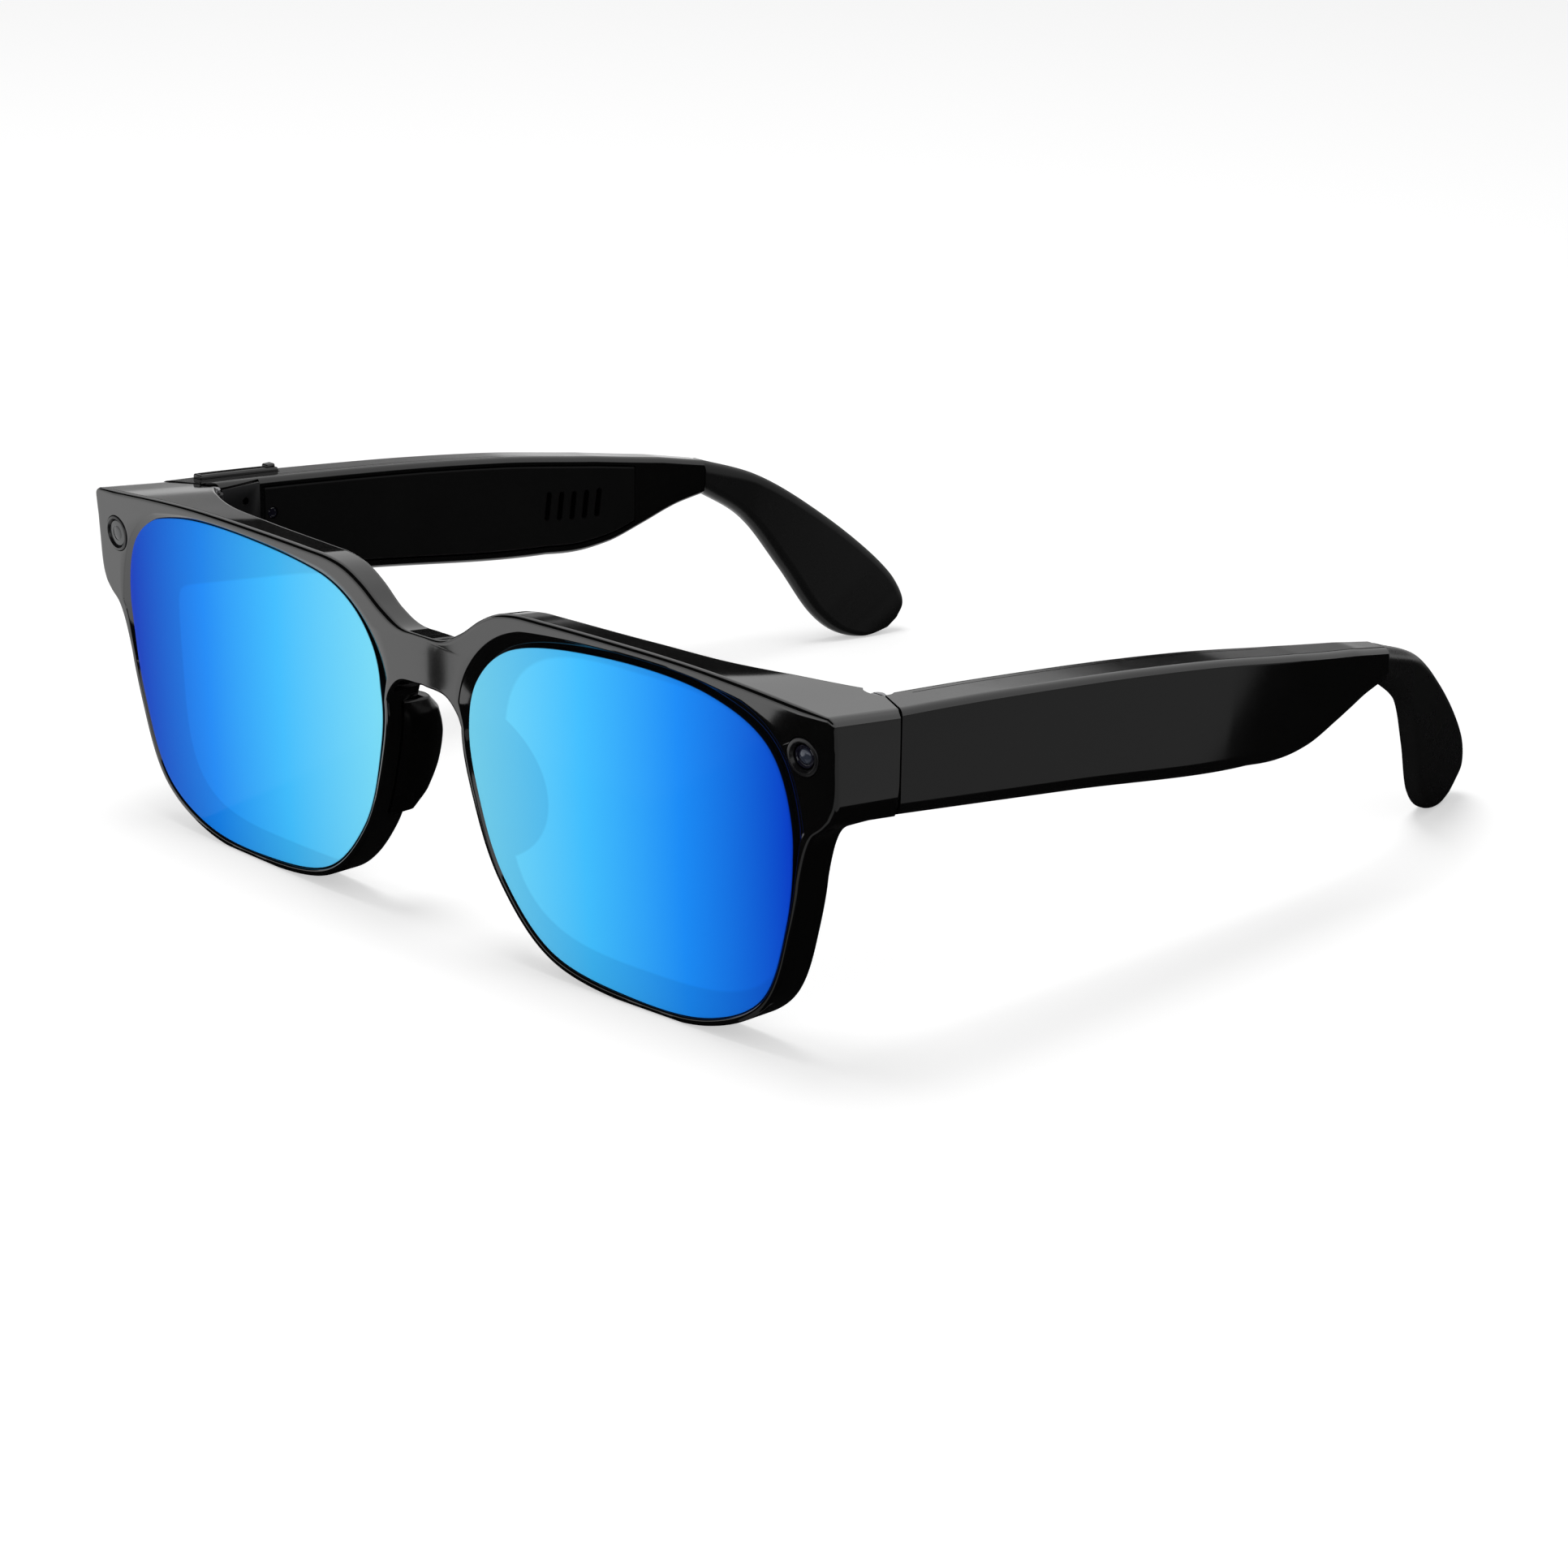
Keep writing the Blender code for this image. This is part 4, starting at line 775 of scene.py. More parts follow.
def lensMirror(sign, label):
    made, nodes, links, shader, place = newMaterial("blueMirror" + label)
    tree = made.node_tree
    marks = placeMarks(made, place, lens["rough"], lens["smear"], lens["grain"])
    parts = nodes.new("ShaderNodeSeparateXYZ")
    links.new(place, parts.inputs[0])
    wide, tall = face["lensHalfWidth"] * mm, face["lensHalfHeight"] * mm
    across = mathNode(tree, "MULTIPLY_ADD", parts.outputs["X"], 1 / wide, -sign * centreX * mm / wide)
    up = mathNode(tree, "MULTIPLY_ADD", parts.outputs["Z"], 1 / tall, -centreZ * mm / tall)
    ramp = nodes.new("ShaderNodeValToRGB")
    stops = ramp.color_ramp.elements
    for spot in lens["stops"]:
        stops.new(spot)
    for stop, name in zip(stops, ("nose", "middle", "deep", "outer")):
        stop.color = toLinear(*lens[name])
    links.new(mapRange(tree, across, -sign, sign, smooth=False), ramp.inputs["Fac"])
    # painted reflection of the rim, mixed into the lens colour
    paintedReflection = paintedReflectionShare(tree, across, up, paintedRimReflections[label])
    tint = mixColours(tree, paintedReflection, ramp.outputs["Color"], toLinear(*lens["paintedReflection"]))
    rear = nodes.new("ShaderNodeAttribute")
    rear.attribute_name = "rear"
    smoky = mixColours(tree, rear.outputs["Fac"], tint, toLinear(*lens["rear"]))
    links.new(smoky, shader.inputs["Base Color"])
    links.new(marks["Roughness"], shader.inputs["Roughness"])
    # the coating tints what it mirrors
    shader.inputs["Specular Tint"].default_value = toLinear(*lens["glint"])
    shader.inputs["Specular IOR Level"].default_value = lens["specular"]
    return made


# width of the rim's bevel along the lens edge
bevelRows = [(t, bevelAt(t, edge)) for _, _, t, edge in stations]


def lensFill(t, label):
    # where the rim is narrow both lenses fill its bevel, under the brow only the right one nearly does
    narrow = unit(heldValue(lens["fill"], t)) * face["bevelShare"] * face["rimWidth"]
    under = unit(lens["browShare"][label] * heldValue(lens["browFill"], t))
    return narrow + under * heldValue(bevelRows, t)


def lensEdge(t, label):
    # from the tongue in the groove up to the rounded front edge, as offsets and depths
    clear, low, tongue = lens["clear"], lens["rise"], face["grooveFront"] + gap
    slope = lensFill(t, label) / (face["bevelDepth"] - face["lipDepth"])
    top = slope * (face["bevelDepth"] - low - lens["edge"][0][1]) - clear
    foot = [(face["grooveDepth"] - gap, tongue), (-clear, tongue), (-clear, face["bevelDepth"] + 0.03)]
    return foot + [(top - aside, low + deep) for aside, deep in lens["edge"]]


def lensRing(sign, spots, row, share=1.0, deeper=0.0):
    # one row of the edge, drawn in to the middle by a share
    ring, centre = [], Vector((centreX, centreZ))
    for point, out, edge in spots:
        p = centre.lerp(point + out * edge[row][0], share)
        ring.append(Vector((sign * p.x, faceY(p.x, p.y) + edge[row][1] + deeper, p.y)))
    return ring


def buildLens(sign, label, material):
    places = [len(lensOutline) * k / lens["around"] for k in range(lens["around"])]
    spots = [(lensPoint(t), lensNormal(t), lensEdge(t, label)) for t in places]
    steps = [1 - (k / (lens["rings"] - 1)) ** 1.2 * 0.95 for k in range(1, lens["rings"])]
    bulge, thick = lens["bulge"], lens["thickness"]
    fronts = [lensRing(sign, spots, row) for row in range(len(spots[0][2]))]
    fronts += [lensRing(sign, spots, -1, share, -bulge * (1 - share * share)) for share in steps]
    backs = [lensRing(sign, spots, 0, share, thick - bulge * (1 - share * share)) for share in [1.0] + steps[::3]]
    bm = bridgeRings(fronts[::-1] + backs)
    bmesh.ops.poke(bm, faces=[f for f in bm.faces if len(f.verts) > 8])
    bmesh.ops.recalc_face_normals(bm, faces=bm.faces)
    rear = bm.verts.layers.float.new("rear")
    for vert in bm.verts:
        depth = vert.co.y - faceY(vert.co.x, vert.co.z)
        vert[rear] = 1.0 if depth > lens["rise"] + 0.1 else 0.0  # edge and back are smoke grey
    piece = finishPiece("lens" + label, bm, material, "front", ["lens_" + label.lower()], 40)
    piece.visible_diffuse = False  # a mirror throws no soft blue light on the floor


for sign, label in sides:
    buildLens(sign, label, lensMirror(sign, label))
print("lenses done")


# nose pads

pad = {
    "top": 0.289, "low": -0.472, "reach": 5.0, "endRound": 0.25, "rings": 60, "around": 64,
    "swell": [(0.0, 0.35), (0.12, 0.75), (0.35, 1.0), (0.6, 1.0), (0.85, 0.75), (1.0, 0.3)],
}


def rimNoseX(z):
    count = len(lensOutline)
    places = [rimPoint(count - 3.2 + 0.005 * k) for k in range(680)]
    return min((abs(p.y - z), p.x) for p in places)[1]


def padRing(share):
    top = centreZ + pad["top"] * face["lensHalfHeight"]
    low = centreZ + pad["low"] * face["lensHalfHeight"]
    swell, z = runValue(pad["swell"], share), top + (low - top) * share
    x, reach = rimNoseX(z), pad["reach"]
    back = faceY(x, z) + face["rimDepth"] + gap
    lip, near = faceY(x, z) + 0.45 * face["rimDepth"], x - gap * 1.1
    outline = [
        (near, lip), (near - 0.7 * swell, lip + 1.1), (near - 1.2 * swell, back + 0.6),
        (near - 0.6 * swell, back + 0.55 * reach * swell), (near + 0.7, back + 0.9 * reach * swell),
        (near + 2.0, back + reach * swell), (near + 3.1, back + 0.75 * reach * swell),
        (near + 3.4, back + 0.3 * reach * swell), (near + 3.0, back), (near, back),
    ]
    # the two faces against the rim stay flat, the free side is a smooth curve
    free = evenRun(outline[:9], pad["around"])
    seat = [Vector(outline[8]).lerp(Vector(outline[9]), k / 8) for k in range(1, 9)]
    lipRun = [Vector(outline[9]).lerp(Vector(outline[0]), k / 8) for k in range(1, 8)]
    return [Vector((p.x, p.y, z)) for p in free + seat + lipRun]


def buildPad(sign, label):
    rings = [[Vector((sign * p.x, p.y, p.z)) for p in padRing(s)] for s in spread(0, 1, pad["rings"])]
    bm = bridgeRings(rings)
    caps = [f for f in bm.faces if len(f.verts) > 8]
    rims = list({e for f in caps for e in f.edges})
    softEdges(bm, rims, pad["endRound"], 3)
    finishPiece("nosePad" + label, bm, looks["padSatin"], "front", ["nose_pad_" + label.lower()], 50)


for sign, label in sides:
    buildPad(sign, label)
print("nose pads done")


# hinges

barrelSteps = [(k - 2) * (hinge["barrelHeight"] + gap) for k in range(5)]
leafOffset = 0.55 * hinge["barrel"] + hinge["leaf"] / 2 - 0.3


def barrelAt(z):
    high, low, edge = z + hinge["barrelHeight"] / 2, z - hinge["barrelHeight"] / 2, 0.12
    wide, bore = hinge["barrel"], hinge["pin"] + hinge["pinGap"]
    profile = [
        (wide, low + edge), (wide, high - edge), (wide - edge, high), (bore, high), (bore, low), (wide - edge, low),
    ]
    return spinProfile(profile, 48, True)


def buildLeaf(name, heights, direction, middleX, sign, body, node):
    start = hinge["barrel"] + 0.5
    plate = roundBox(
        (hinge["leaf"], hinge["leafLength"], stackHeight),
        (sign * middleX, direction * (start + hinge["leafLength"] / 2), 0), 0.1, 2,
    )
    steps = []
    for z in heights:
        reach, inner = start + 0.5, 0.75 * hinge["barrel"]
        tab = roundBox(
            (hinge["leaf"], reach - inner, hinge["barrelHeight"]),
            (sign * middleX, direction * (reach + inner) / 2, z),
        )
        steps += [("UNION", tab), ("UNION", barrelAt(z))]
    for z in (-0.3 * stackHeight, 0.3 * stackHeight):
        place = (sign * middleX, direction * (start + 0.62 * hinge["leafLength"]), z)
        steps.append(("DIFFERENCE", crossRod(hinge["screw"], 4, 32, place)))
    bm = moved(carve(plate, steps), Matrix.Translation(pinAt(sign)))
    finishPiece(name, bm, looks["hingeBlack"], body, [node])


def buildPin(sign, label):
    low, seat, wide, head = -stackHeight / 2, stackHeight / 2 + gap, hinge["pin"], hinge["pinHead"]
    profile = [
        (0, low - 0.2), (wide - 0.1, low - 0.2), (wide, low - 0.1), (wide, seat),
        (head, seat), (head, seat + 0.36), (head - 0.13, seat + 0.5), (0, seat + 0.5),
    ]
    slot = roundBox((2.6, 0.26, 0.5), (0, 0, seat + 0.52))
    bm = carve(spinProfile(profile, 40), [("DIFFERENCE", slot)])
    moved(bm, Matrix.Translation(pinAt(sign)))
    finishPiece("hingePin" + label, bm, looks["hingeSteel"], "front", ["hinge_pin_" + label.lower()])


for sign, label in sides:
    side = label.lower()
    buildLeaf("frontLeaf" + label, barrelSteps[0::2], -1, 0.0, sign, "front", "hinge_front_leaf_" + side)
    buildLeaf("templeLeaf" + label, barrelSteps[1::2], 1, leafOffset, sign, "temple_" + side,
              "hinge_temple_leaf_" + side)
    buildPin(sign, label)
print("hinges done")


# temples

temple = {
    "proud": 0.1, "thickness": 6.8, "height": 14.0, "neck": 4.6, "length": 98.2, "wall": 1.3, "cover": 1.0,
    "front": -6.0, "bayFront": 10.0, "bayEnd": 14.2, "stations": 110, "corners": (1.1, 0.9, 0.9, 2.2),
    "topLean": 0.045, "leanFrom": 1.3,
    "top": [(-0.0611, 0.5464), (0.0743, 0.4714), (0.2444, 0.3571), (0.4175, 0.2250), (0.5906, 0.0643),
            (0.7739, -0.1500), (0.9165, -0.3286), (1.0183, -0.4786)],
    "low": [(-0.0611, -0.4786), (0.3055, -0.8143), (0.6721, -1.1571), (0.7434, -1.2071), (0.8045, -1.1786),
            (0.8758, -1.0500), (0.9470, -0.9071), (1.0183, -0.8286)],
    "outer": [(-0.0611, 0.0), (0.6110, 0.0074), (0.7739, -0.0735), (0.9165, -0.2794), (1.0183, -0.5)],
    "run": [(-0.0611, 1.0), (0.5601, 0.956), (0.8147, 0.853), (1.0183, 4.6 / 6.8)],
}
bayRear = temple["length"] - temple["bayEnd"]
fit = 0.6 * gap  # play round covers and button
templeSlope = math.atan2(
    (temple["low"][1][1] - temple["low"][2][1]) * temple["height"],
    (temple["low"][2][0] - temple["low"][1][0]) * temple["length"],
)


def templeX(y):
    share = y / temple["length"]
    outer = hinge["inset"] + temple["proud"] + runValue(temple["outer"], share) * temple["thickness"]
    return outer, outer - runValue(temple["run"], share) * temple["thickness"]


def templeZ(y):
    share = y / temple["length"]
    return runValue(temple["low"], share) * temple["height"], runValue(temple["top"], share) * temple["height"]


def templeRing(y):
    (low, high), (outer, inner) = templeZ(y), templeX(y)
    ring = roundedRing((y, low), (y, high), outer, inner, temple["corners"])
    # the top leans slightly outward
    for p in ring:
        p.z -= temple["topLean"] * (p.x - inner) * max(0.0, 1 + (p.z - high) / temple["leanFrom"])
    return ring


def bayRing(y, inset, fromInner, toOuter):
    (low, high), (outer, inner) = templeZ(y), templeX(y)
    edge = temple["wall"] + inset
    far = outer - temple["wall"] if toOuter is None else inner + toOuter
    return roundedRing((y, low + edge), (y, high - edge), far, inner + fromInner, (0.35,) * 4, 4, 0.0, 0.06)


def bayMiddle(y):
    return sum(templeZ(y)) / 2


def tilted(sign, y, z, x):
    at = Vector((sign * (hingeX + x), hingeY + y, hingeZ + z))
    return Matrix.Translation(at) @ Matrix.Rotation(-templeSlope, 4, "X")


# the parting line on top of the temple, near its inner edge
parting = {"start": 3.5, "end": 71.0, "fromInner": 1.75, "width": 0.26, "depth": 0.42}


def partingCutter(sign):
    rings = []
    for y in spread(parting["start"], parting["end"], 50):
        high, inner = templeZ(y)[1], templeX(y)[1] + parting["fromInner"]
        half, deep = parting["width"] / 2, parting["depth"]
        ring = [Vector((inner + half, y, high + 1)), Vector((inner - half, y, high + 1)),
                Vector((inner - 0.4 * half, y, high - deep)), Vector((inner + 0.4 * half, y, high - deep))]
        rings.append(atHinge(sign, ring))
    return bridgeRings(rings)


button = {
    "x": 5.3, "start": 1.2, "length": 14.4, "width": 1.9, "rise": 0.48, "sink": 1.5, "travel": 0.4,
    "soft": 0.22, "corners": (0.34, 0.34, 0.1, 0.1),
}


def buttonRing(y, rise, sink, grow, radii):
    high, x, half = templeZ(y)[1], button["x"], button["width"] / 2 + grow
    low, top = (y, high - sink - grow), (y, high + rise)
    return atHinge(-1, roundedRing(low, top, x + half, x - half, radii, 5, 0.0, 0.06))


def buildShell(sign, label):
    places = spread(temple["front"], temple["length"], temple["stations"])
    body = bridgeRings([atHinge(sign, templeRing(y)) for y in places])
    reach, swing = 16, face["swing"]
    ahead = [(-reach, 0.0), (hinge["buttFlat"], 0.0), (reach, buttLine(reach)), (reach, -reach), (-reach, -reach)]
    slotOuter, slotLength = leafOffset + hinge["leaf"] / 2 + gap, hinge["leafLength"] + swing + gap
    slot = roundBox(
        (slotOuter + 3, slotLength, stackHeight + 2 * gap),
        (sign * (hingeX + (slotOuter - 3) / 2), hingeY + slotLength / 2, hingeZ),
    )
    bay = bridgeRings([atHinge(sign, bayRing(y, 0.0, -2, None)) for y in spread(temple["bayFront"], bayRear, 40)])
    steps = [
        ("DIFFERENCE", prismAt(sign, ahead, reach)),
        ("DIFFERENCE", roundRod(swing, 64, 48, pinAt(sign))),
        ("DIFFERENCE", slot), ("DIFFERENCE", bay), ("DIFFERENCE", partingCutter(sign)),
    ]
    if sign < 0:
        deep = button["sink"] + button["travel"]
        places = spread(button["start"] - fit, button["start"] + button["length"] + fit, 16)
        steps.append(("DIFFERENCE", bridgeRings([buttonRing(y, 3, deep, fit, (0.3,) * 4) for y in places])))
    side = label.lower()
    finishPiece("templeShell" + label, carve(body, steps), looks["templeGloss"], "temple_" + side,
                ["temple_shell_" + side])


slots = {"count": 5, "fromRear": 18.0, "step": 2.6, "size": (1.1, 4.6, 4)}
sensor = {"y": 11.6, "z": 0.8, "radius": 0.8}
slider = {"y": 18.0, "lift": 1.5, "knob": (1.0, 2.6, 1.8), "travel": 2.0}


def sensorPlace():
    y = sensor["y"]
    return Vector((-(hingeX + templeX(y)[1] + 0.5), hingeY + y, hingeZ + sensor["z"]))


def sliderPlace():
    y = slider["y"]
    return hingeX + templeX(y)[1], hingeY + y, hingeZ + bayMiddle(y) + slider["lift"]


def slotCutter(wide, tall, deep):
    # slot with round ends, along its own Z
    bm = roundBox((deep, wide, tall - wide))
    for end in (-1, 1):
        bm = carve(bm, [("UNION", crossRod(wide / 2, deep, 24, (0, 0, end * (tall - wide) / 2)))])
    return bm


def buildCover(sign, label):
    places = spread(temple["bayFront"] + fit, bayRear - fit, 60)
    body = bridgeRings([atHinge(sign, bayRing(y, fit, 0.0, temple["cover"])) for y in places])
    steps = []
    for k in range(slots["count"]):
        y = bayRear - slots["fromRear"] + slots["step"] * k
        place = tilted(sign, y, bayMiddle(y), templeX(y)[1] + 0.5)
        steps.append(("DIFFERENCE", moved(slotCutter(*slots["size"]), place)))
    if sign < 0:
        steps.append(("DIFFERENCE", crossRod(sensor["radius"] + 0.12, 3, 40, sensorPlace())))
    else:
        (_, long, tall), (x, y, z), travel = slider["knob"], sliderPlace(), slider["travel"]
        room = roundBox((4, long + travel + 2 * gap, tall + 2 * gap), (x, y + travel / 2, z))
        steps.append(("DIFFERENCE", room))
    side = label.lower()
    finishPiece("templeCover" + label, carve(body, steps), looks["coverMatt"], "temple_" + side,
                ["temple_cover_" + side])


for sign, label in sides:
    buildShell(sign, label)
    buildCover(sign, label)
print("temples done")


# ear tips

tip = {
    "length": 36.0, "inward": 16.0, "thickness": 3.6, "lean": 0.18, "stations": 90, "endRound": 0.5,
    "rows": [
        (0.0, 1.0, 0.0, 1.192, 0.2094, 1.0), (0.2319, 0.7935, 0.3097, 1.0399, 0.3875, 0.98),
        (0.4014, 0.471, 0.6236, 0.7536, 0.625, 0.95), (0.5431, 0.163, 0.8764, 0.4493, 0.8375, 0.93),
        (0.6486, 0.0435, 0.9597, 0.3043, 0.9188, 0.92), (0.7653, 0.0, 0.9875, 0.1848, 0.9688, 0.88),
        (0.8875, 0.0217, 0.9597, 0.0978, 1.0, 0.6),
    ],
}
tipHeight = hingeZ + templeZ(temple["length"])[0] + 0.14


def tipRing(t):
    start, rows = temple["length"] + gap, []
    for a, b, c, d, e, f in tip["rows"]:
        low = (start + a * tip["length"], b * tipHeight - hingeZ)
        high = (start + c * tip["length"], d * tipHeight - hingeZ)
        rows.append((low, high, (hinge["inset"] + temple["proud"] - e * tip["inward"], f * tip["thickness"])))
    low, high, (outer, thick) = [smoothPoint([row[k] for row in rows], t) for k in range(3)]
    thick = temple["neck"] + (thick - temple["neck"]) * min(1.0, t)
    radius = 0.44 * thick
    return roundedRing(low, high, outer, outer - thick, (radius,) * 4, 9, tip["lean"] * (high.x - low.x), 0.05)


def buildTip(sign, label):
    bm = bridgeRings([atHinge(sign, tipRing(t)) for t in spread(0, 6, tip["stations"])])
    caps = sorted((f for f in bm.faces if len(f.verts) > 8), key=lambda f: f.calc_center_median().z)
    softEdges(bm, caps[0].edges[:], tip["endRound"], 5)
    side = label.lower()
    finishPiece("earTip" + label, bm, looks["tipGloss"], "temple_" + side, ["temple_tip_" + side], 50)


for sign, label in sides:
    buildTip(sign, label)
print("ear tips done")


# camera and light

def buildModule(sign, prefix, nodes, glass, slot, lip, well):
    at = faceMatrix(sign * moduleX, moduleZ)
    wide, inner = module["bezel"], module["window"] + gap
    edge = 0.3 * (wide - lip)
    ring = [
        (wide, -1.6), (wide, -0.02), (wide - 0.06, 0.1), (wide - edge, 0.17), (lip + 1.3 * edge, 0.17),
        (lip + edge, 0.12), (lip + 0.1, -0.12), (lip + 0.04, -0.2), (lip, -0.3), (lip, -0.5),
        (inner, -0.7), (inner, -1.6),
    ]
    window = [(0, -1.4), (module["window"], -1.4)] + well
    barrel = [(0, -6.6), (wide - 0.2, -6.6), (wide, -6.4), (wide, -1.85), (0, -1.85)]
    pieces = (
        ("Ring", spinProfile(ring, 96, True), looks["ringSatin"], "dark_ring"),
        ("Window", spinProfile(window, 96), glass, slot),
        ("Barrel", spinProfile(barrel, 48), looks["barrelMatt"], "black_barrel"),
    )
    for (part, bm, look, kind), node in zip(pieces, nodes):
        finishPiece(prefix + part, moved(bm, at), look, "front", [node])


def cameraWell():
    # stepped well round the eye
    wide, eye = module["window"], module["eye"]
    return [
        (wide, -0.32), (wide - 0.06, -0.28), (eye + 0.3, -0.28), (eye + 0.24, -0.34), (eye + 0.2, -0.5),
        (eye + 0.1, -0.5), (eye + 0.08, -0.46), (eye + 0.03, -0.46), (eye + 0.01, -0.6), (0, -0.6),
    ]


def lightWell():
    # wide plain disc with one shallow ring
    disc, eye = module["disc"], module["eye"]
    return [
        (module["window"], -0.62), (disc, -0.44), (disc, -0.2), (disc - 0.08, -0.12), (eye + 0.06, -0.08),
        (eye, -0.12), (eye - 0.06, -0.08), (0.5, -0.06), (0, -0.05),
    ]


def buildEye():
    eye = module["eye"]
    dome = [(eye * math.sin(a), -0.58 + 0.36 * math.cos(a)) for a in spread(0.5 * math.pi, 0, 14)]
    dome = [(0, -0.58), (eye * 0.98, -0.58)] + dome[1:]
    bm = moved(spinProfile(dome, 80), faceMatrix(moduleX, moduleZ))
    finishPiece("cameraEye", bm, looks["eyeCoating"], "front", ())


cameraNodes = ("camera_bezel", "camera_window", "camera_barrel")
lightNodes = ("light_bezel", "light_window", "light_body")
buildModule(1, "camera", cameraNodes, looks["lensGlass"], "camera_glass", module["window"] + gap, cameraWell())
buildModule(-1, "light", lightNodes, looks["lampWindow"], "light_window", module["disc"] + 0.06, lightWell())
buildEye()
print("camera and light done")


# charging contacts, capture button, sensor window and power slider

for sign, label in sides:
    disc = [(0, -0.15), (0.94, -0.15), (1.0, -0.09), (1.0, 0.35), (0.9, 0.45), (0.35, 0.42), (0, 0.4)]
    at = faceMatrix(sign * contact["side"], contactZ, face["bridgeDepth"] + contact["depth"])
    finishPiece("chargeContact" + label, moved(spinProfile(disc, 48), at @ Matrix.Rotation(math.pi, 4, "X")),
                looks["contactGold"], "front", ["charge_contact_" + label.lower()])


def buildButton():
    start, end, soft = button["start"], button["start"] + button["length"], button["soft"]
    rise, sink = button["rise"], button["sink"]
    turns = [math.radians(18 * k) for k in range(6)]
    rows = [(start + soft * (1 - math.cos(a)), soft * (1 - math.sin(a))) for a in turns]
    rows += [(y, 0.0) for y in spread(start + 2 * soft, end - 2 * soft, 40)]
    rows += [(end - soft * (1 - math.cos(a)), soft * (1 - math.sin(a))) for a in reversed(turns)]
    bm = bridgeRings([buttonRing(y, rise - less, sink - 2 * less, -less, button["corners"]) for y, less in rows])
    y = end - 1.2
    at = (-(hingeX + button["x"]), hingeY + y, hingeZ + templeZ(y)[1] + rise - 0.1)
    nub = roundBox((button["width"] - 0.5, 1.6, 1.2), at, 0.28, 4)
    finishPiece("captureButton", carve(bm, [("UNION", nub)]), looks["templeGloss"], "capture_button",
                ["capture_button"])


def buildSensor():
    disc = [(0, -0.5), (0.76, -0.5), (0.8, -0.46), (0.8, 0.4), (0.7, 0.5), (0.5, 0.5), (0.46, 0.44), (0, 0.44)]
    turn = Matrix.Translation(sensorPlace()) @ Matrix.Rotation(math.pi / 2, 4, "Y")
    finishPiece("wearSensor", moved(spinProfile(disc, 48), turn), looks["lensGlass"], "temple_right",
                ["wear_sensor_window"])


def buildSlider():
    # knob through the cover, plate behind it, four grip lines
    (proud, long, tall), (x, y, z), back = slider["knob"], sliderPlace(), temple["cover"] + gap
    bm = roundBox((back + proud, long, tall), (x + back / 2 + 0.1, y, z), 0.2)
    steps = [("UNION", roundBox((0.7, long + 2, tall + 1.6), (x + back + 0.35, y, z)))]
    for k in range(4):
        steps.append(("DIFFERENCE", roundBox((0.5, 0.22, 3), (x - 0.55, y - 0.75 + 0.5 * k, z))))
    finishPiece("powerKnob", carve(bm, steps), looks["coverMatt"], "power_slider", ["power_slider"])


buildButton()
buildSensor()
buildSlider()
print("controls done")


# carried-over inner pieces keep their solids and get their finish here

innerLooks = {
    "battery_cell": "cellFoil", "main_board": "boardMask", "capture_switch": "speakerMatt",
    "speaker_left": "speakerMatt", "speaker_right": "speakerMatt",
    "microphone_left": "cellFoil", "microphone_right": "cellFoil",
    "tip_core_left": "hingeSteel", "tip_core_right": "hingeSteel",
}
for node, look in innerLooks.items():
    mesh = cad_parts[node].data
    mesh.materials.clear()
    mesh.materials.append(looks[look])
print("inner pieces finished")


# floor, light and camera

stage = {
    "floorSide": 6.0, "floorZ": -0.00005, "floorWhite": 0.8, "floorGlow": 0.48, "skyLight": 0.46,
    "topLamp": {"place": (-0.12, -0.03, 0.95), "target": (0, -0.05, 0), "side": 0.5, "power": 3.4},
    "fillLamp": {"place": (0.24, -2.2, 0.24), "target": (0, -0.07, 0.03), "side": 1.0, "power": 31.0},
}
# black and grey studio cards, seen in reflections alone: sizes and places in metres, turns in degrees
cards = {
    "floorFlag": {"size": (0.308, 0.478), "place": (0.096, 0.111, -0.00003), "shade": 0.01},
    "frontFlag": {"size": (1.2, 0.9), "place": (0.597, -0.578, -0.00001), "shade": 0.01},
    "bridgeFlag": {"size": (0.0036, 0.0187), "place": (-0.0732, -0.1393, -0.000005), "turn": (0, 0, -49.1),
                   "shade": 0.01},
    "nearFlag": {"size": (0.057, 0.2), "place": (0.0885, 0.0, -0.000005), "shade": 0.01},
    "sideCard": {"size": (1.4, 1.4), "place": (0.748, -0.254, -0.00002), "turn": (0, 0, -26.6), "shade": 0.3},
    "backFlag": {"size": (3.2, 0.15), "place": (-1.06, 1.06, 0.285), "turn": (90, 0, 45), "shade": 0.02},
    "backCard": {"size": (3.2, 0.18), "place": (-1.06, 1.06, 0.12), "turn": (90, 0, 45), "shade": 0.5},
    "roofFlag": {"size": (5.0, 2.4), "place": (-1.0, -1.25, 1.1), "shade": 0.01},
}


def flatPiece(name, size, place, turn=(0, 0, 0)):
    bm = bmesh.new()
    bmesh.ops.create_grid(bm, x_segments=1, y_segments=1, size=0.5)
    bmesh.ops.scale(bm, vec=(size[0], size[1], 1.0), verts=bm.verts)
    tilt = [Matrix.Rotation(math.radians(angle), 4, axis) for angle, axis in zip(turn, "XYZ")]
    made = meshObject(name, moved(bm, Matrix.Translation(place) @ tilt[2] @ tilt[1] @ tilt[0]))
    return made


def bareTree(owner):
    owner.use_nodes = True
    owner.node_tree.nodes.clear()
    return owner.node_tree


def showSurface(tree, kind, shader):
    tree.links.new(shader, tree.nodes.new("ShaderNodeOutput" + kind).inputs["Surface"])


def seenRays(tree):
    # rays that show the white background: the camera's, and those of gloss and glass
    path = tree.nodes.new("ShaderNodeLightPath").outputs
    seen = mathNode(tree, "ADD", path["Is Camera Ray"], path["Is Glossy Ray"])
    return mathNode(tree, "ADD", seen, path["Is Transmission Ray"], clamp=True)


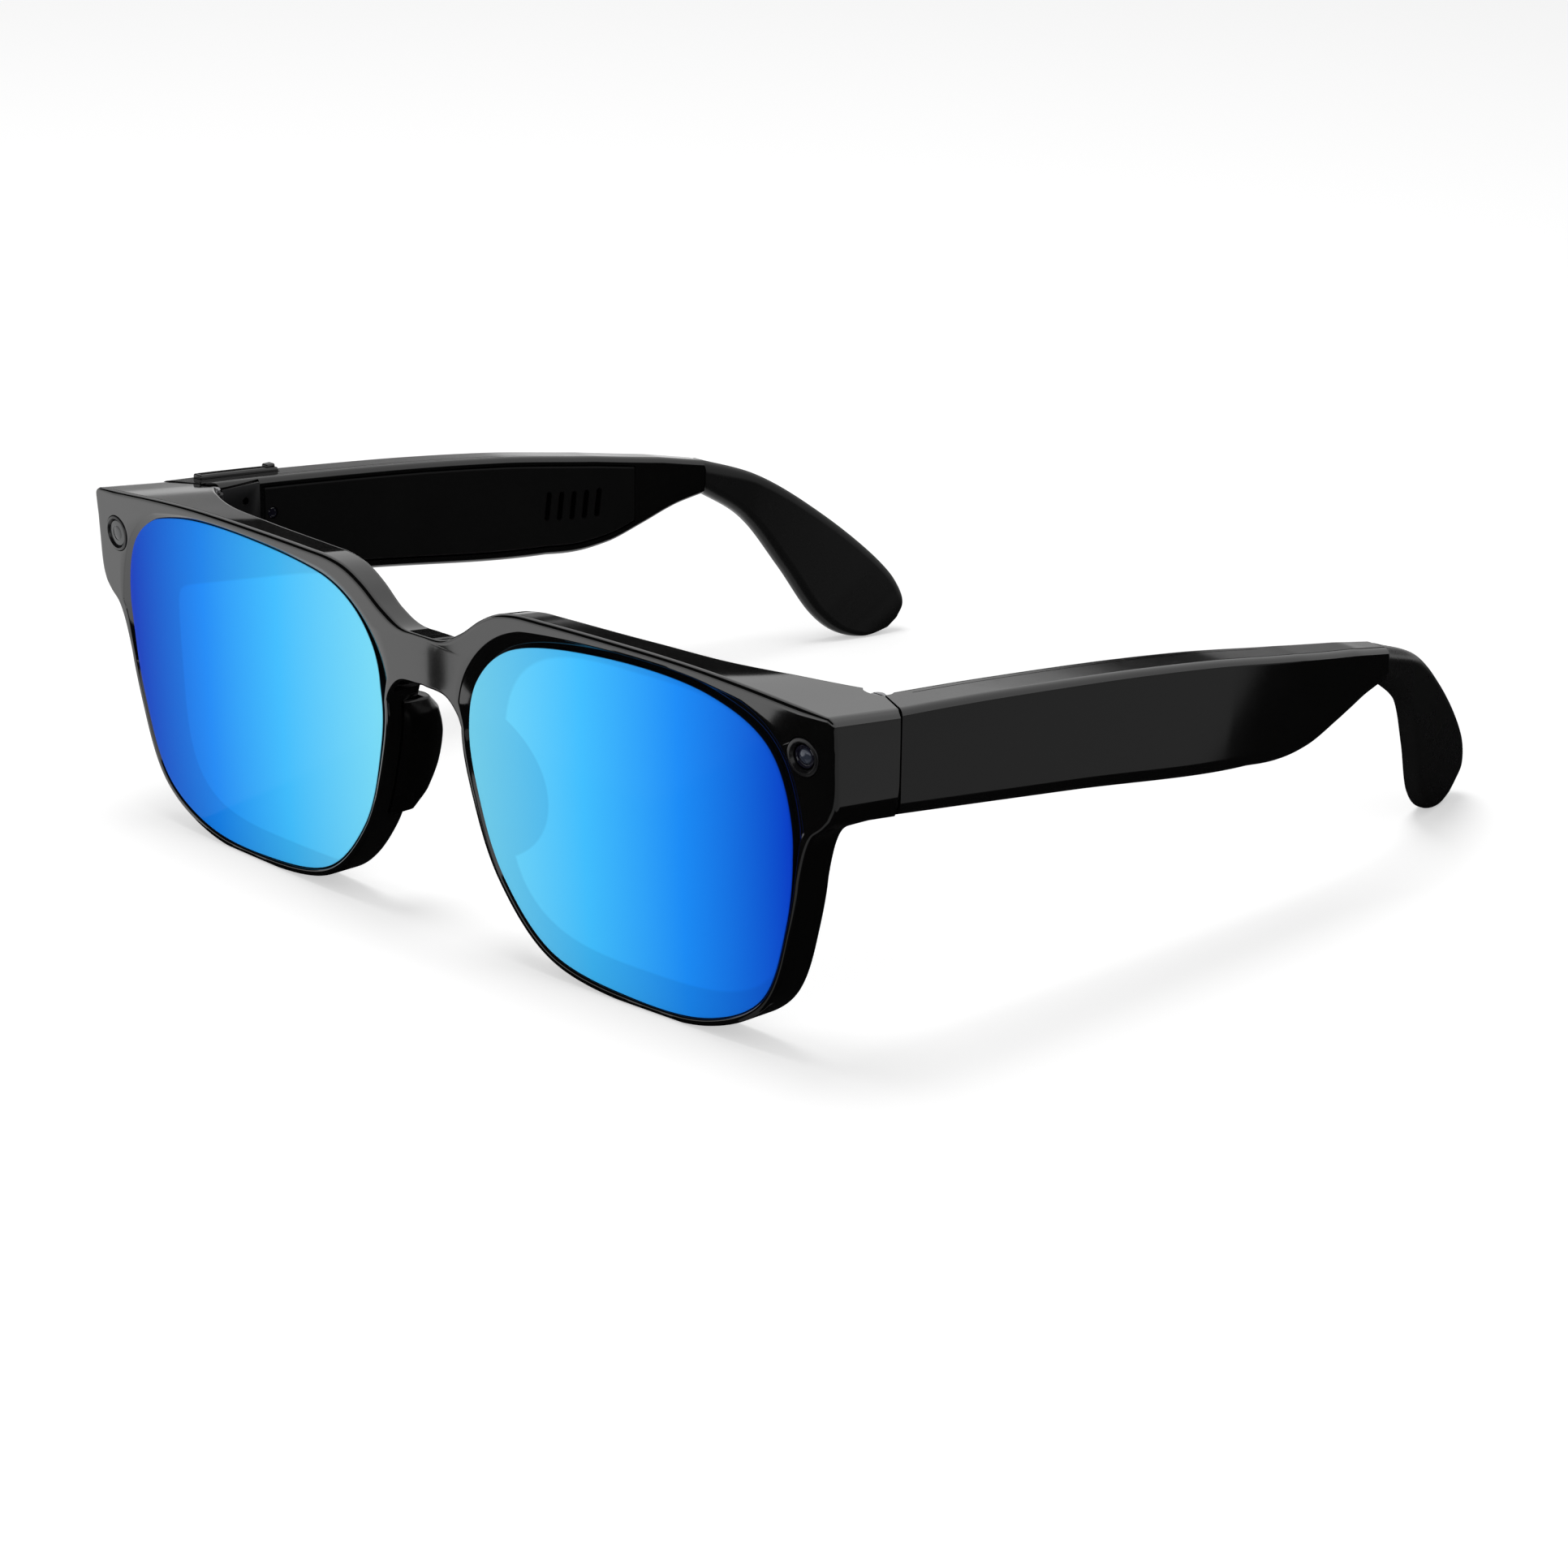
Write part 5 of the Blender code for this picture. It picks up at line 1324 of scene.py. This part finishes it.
def paintNode(tree, shade):
    paint = tree.nodes.new("ShaderNodeBsdfDiffuse")
    paint.inputs["Color"].default_value = (shade, shade, shade, 1.0)
    return paint.outputs[0]


def buildFloor():
    floor = flatPiece("floor", (stage["floorSide"],) * 2, (0, 0, stage["floorZ"]))
    made = bpy.data.materials.new("floorWhite")
    tree = bareTree(made)
    glow = tree.nodes.new("ShaderNodeEmission")
    tree.links.new(mathNode(tree, "MULTIPLY", seenRays(tree), stage["floorGlow"]), glow.inputs["Strength"])
    both = tree.nodes.new("ShaderNodeAddShader")
    tree.links.new(paintNode(tree, stage["floorWhite"]), both.inputs[0])
    tree.links.new(glow.outputs[0], both.inputs[1])
    showSurface(tree, "Material", both.outputs[0])
    floor.data.materials.append(made)


def buildCard(name, values):
    card = flatPiece(name, values["size"], values["place"], values.get("turn", (0, 0, 0)))
    made = bpy.data.materials.new(name)
    tree = bareTree(made)
    showSurface(tree, "Material", paintNode(tree, values["shade"]))
    card.data.materials.append(made)
    card.visible_camera = card.visible_diffuse = card.visible_transmission = card.visible_shadow = False


def buildSky():
    world = bpy.data.worlds.new("studio")
    bpy.context.scene.world = world
    tree = bareTree(world)
    back = tree.nodes.new("ShaderNodeBackground")
    tree.links.new(mapRange(tree, seenRays(tree), 0.0, 1.0, stage["skyLight"], 1.0, False), back.inputs["Strength"])
    showSurface(tree, "World", back.outputs[0])


def buildLamp(name):
    values = stage[name]
    data = bpy.data.lights.new(name, "AREA")
    data.shape, data.size, data.energy = "DISK", values["side"], values["power"]
    lamp = bpy.data.objects.new(name, data)
    lamp.location = values["place"]
    lamp.rotation_mode = "QUATERNION"
    lamp.rotation_quaternion = (Vector(values["target"]) - Vector(values["place"])).to_track_quat("-Z", "Y")
    lamp.visible_glossy = False
    bpy.context.scene.collection.objects.link(lamp)


# the camera as found for the photograph: place in metres, direction in degrees
shot = {
    "place": (0.455345, -0.46286, 0.223144), "azimuth": -45.009, "elevation": 18.624, "roll": 0.741,
    "lens": 107.91, "sensor": 36.0,
}


def buildCamera():
    data = bpy.data.cameras.new("shot")
    data.lens, data.sensor_width, data.sensor_fit = shot["lens"], shot["sensor"], "AUTO"
    data.clip_start, data.clip_end = 0.01, 20
    camera = bpy.data.objects.new("shot", data)
    turn = Matrix.Rotation(math.radians(shot["azimuth"] + 90), 4, "Z")
    turn = turn @ Matrix.Rotation(math.radians(90 - shot["elevation"]), 4, "X")
    turn = turn @ Matrix.Rotation(math.radians(shot["roll"]), 4, "Z")
    camera.matrix_world = Matrix.Translation(shot["place"]) @ turn
    bpy.context.scene.collection.objects.link(camera)
    bpy.context.scene.camera = camera


buildFloor()
for name, values in cards.items():
    buildCard(name, values)
buildSky()
for name in ("topLamp", "fillLamp"):
    buildLamp(name)
buildCamera()
bpy.context.scene.view_settings.view_transform = "Standard"
print("stage done")
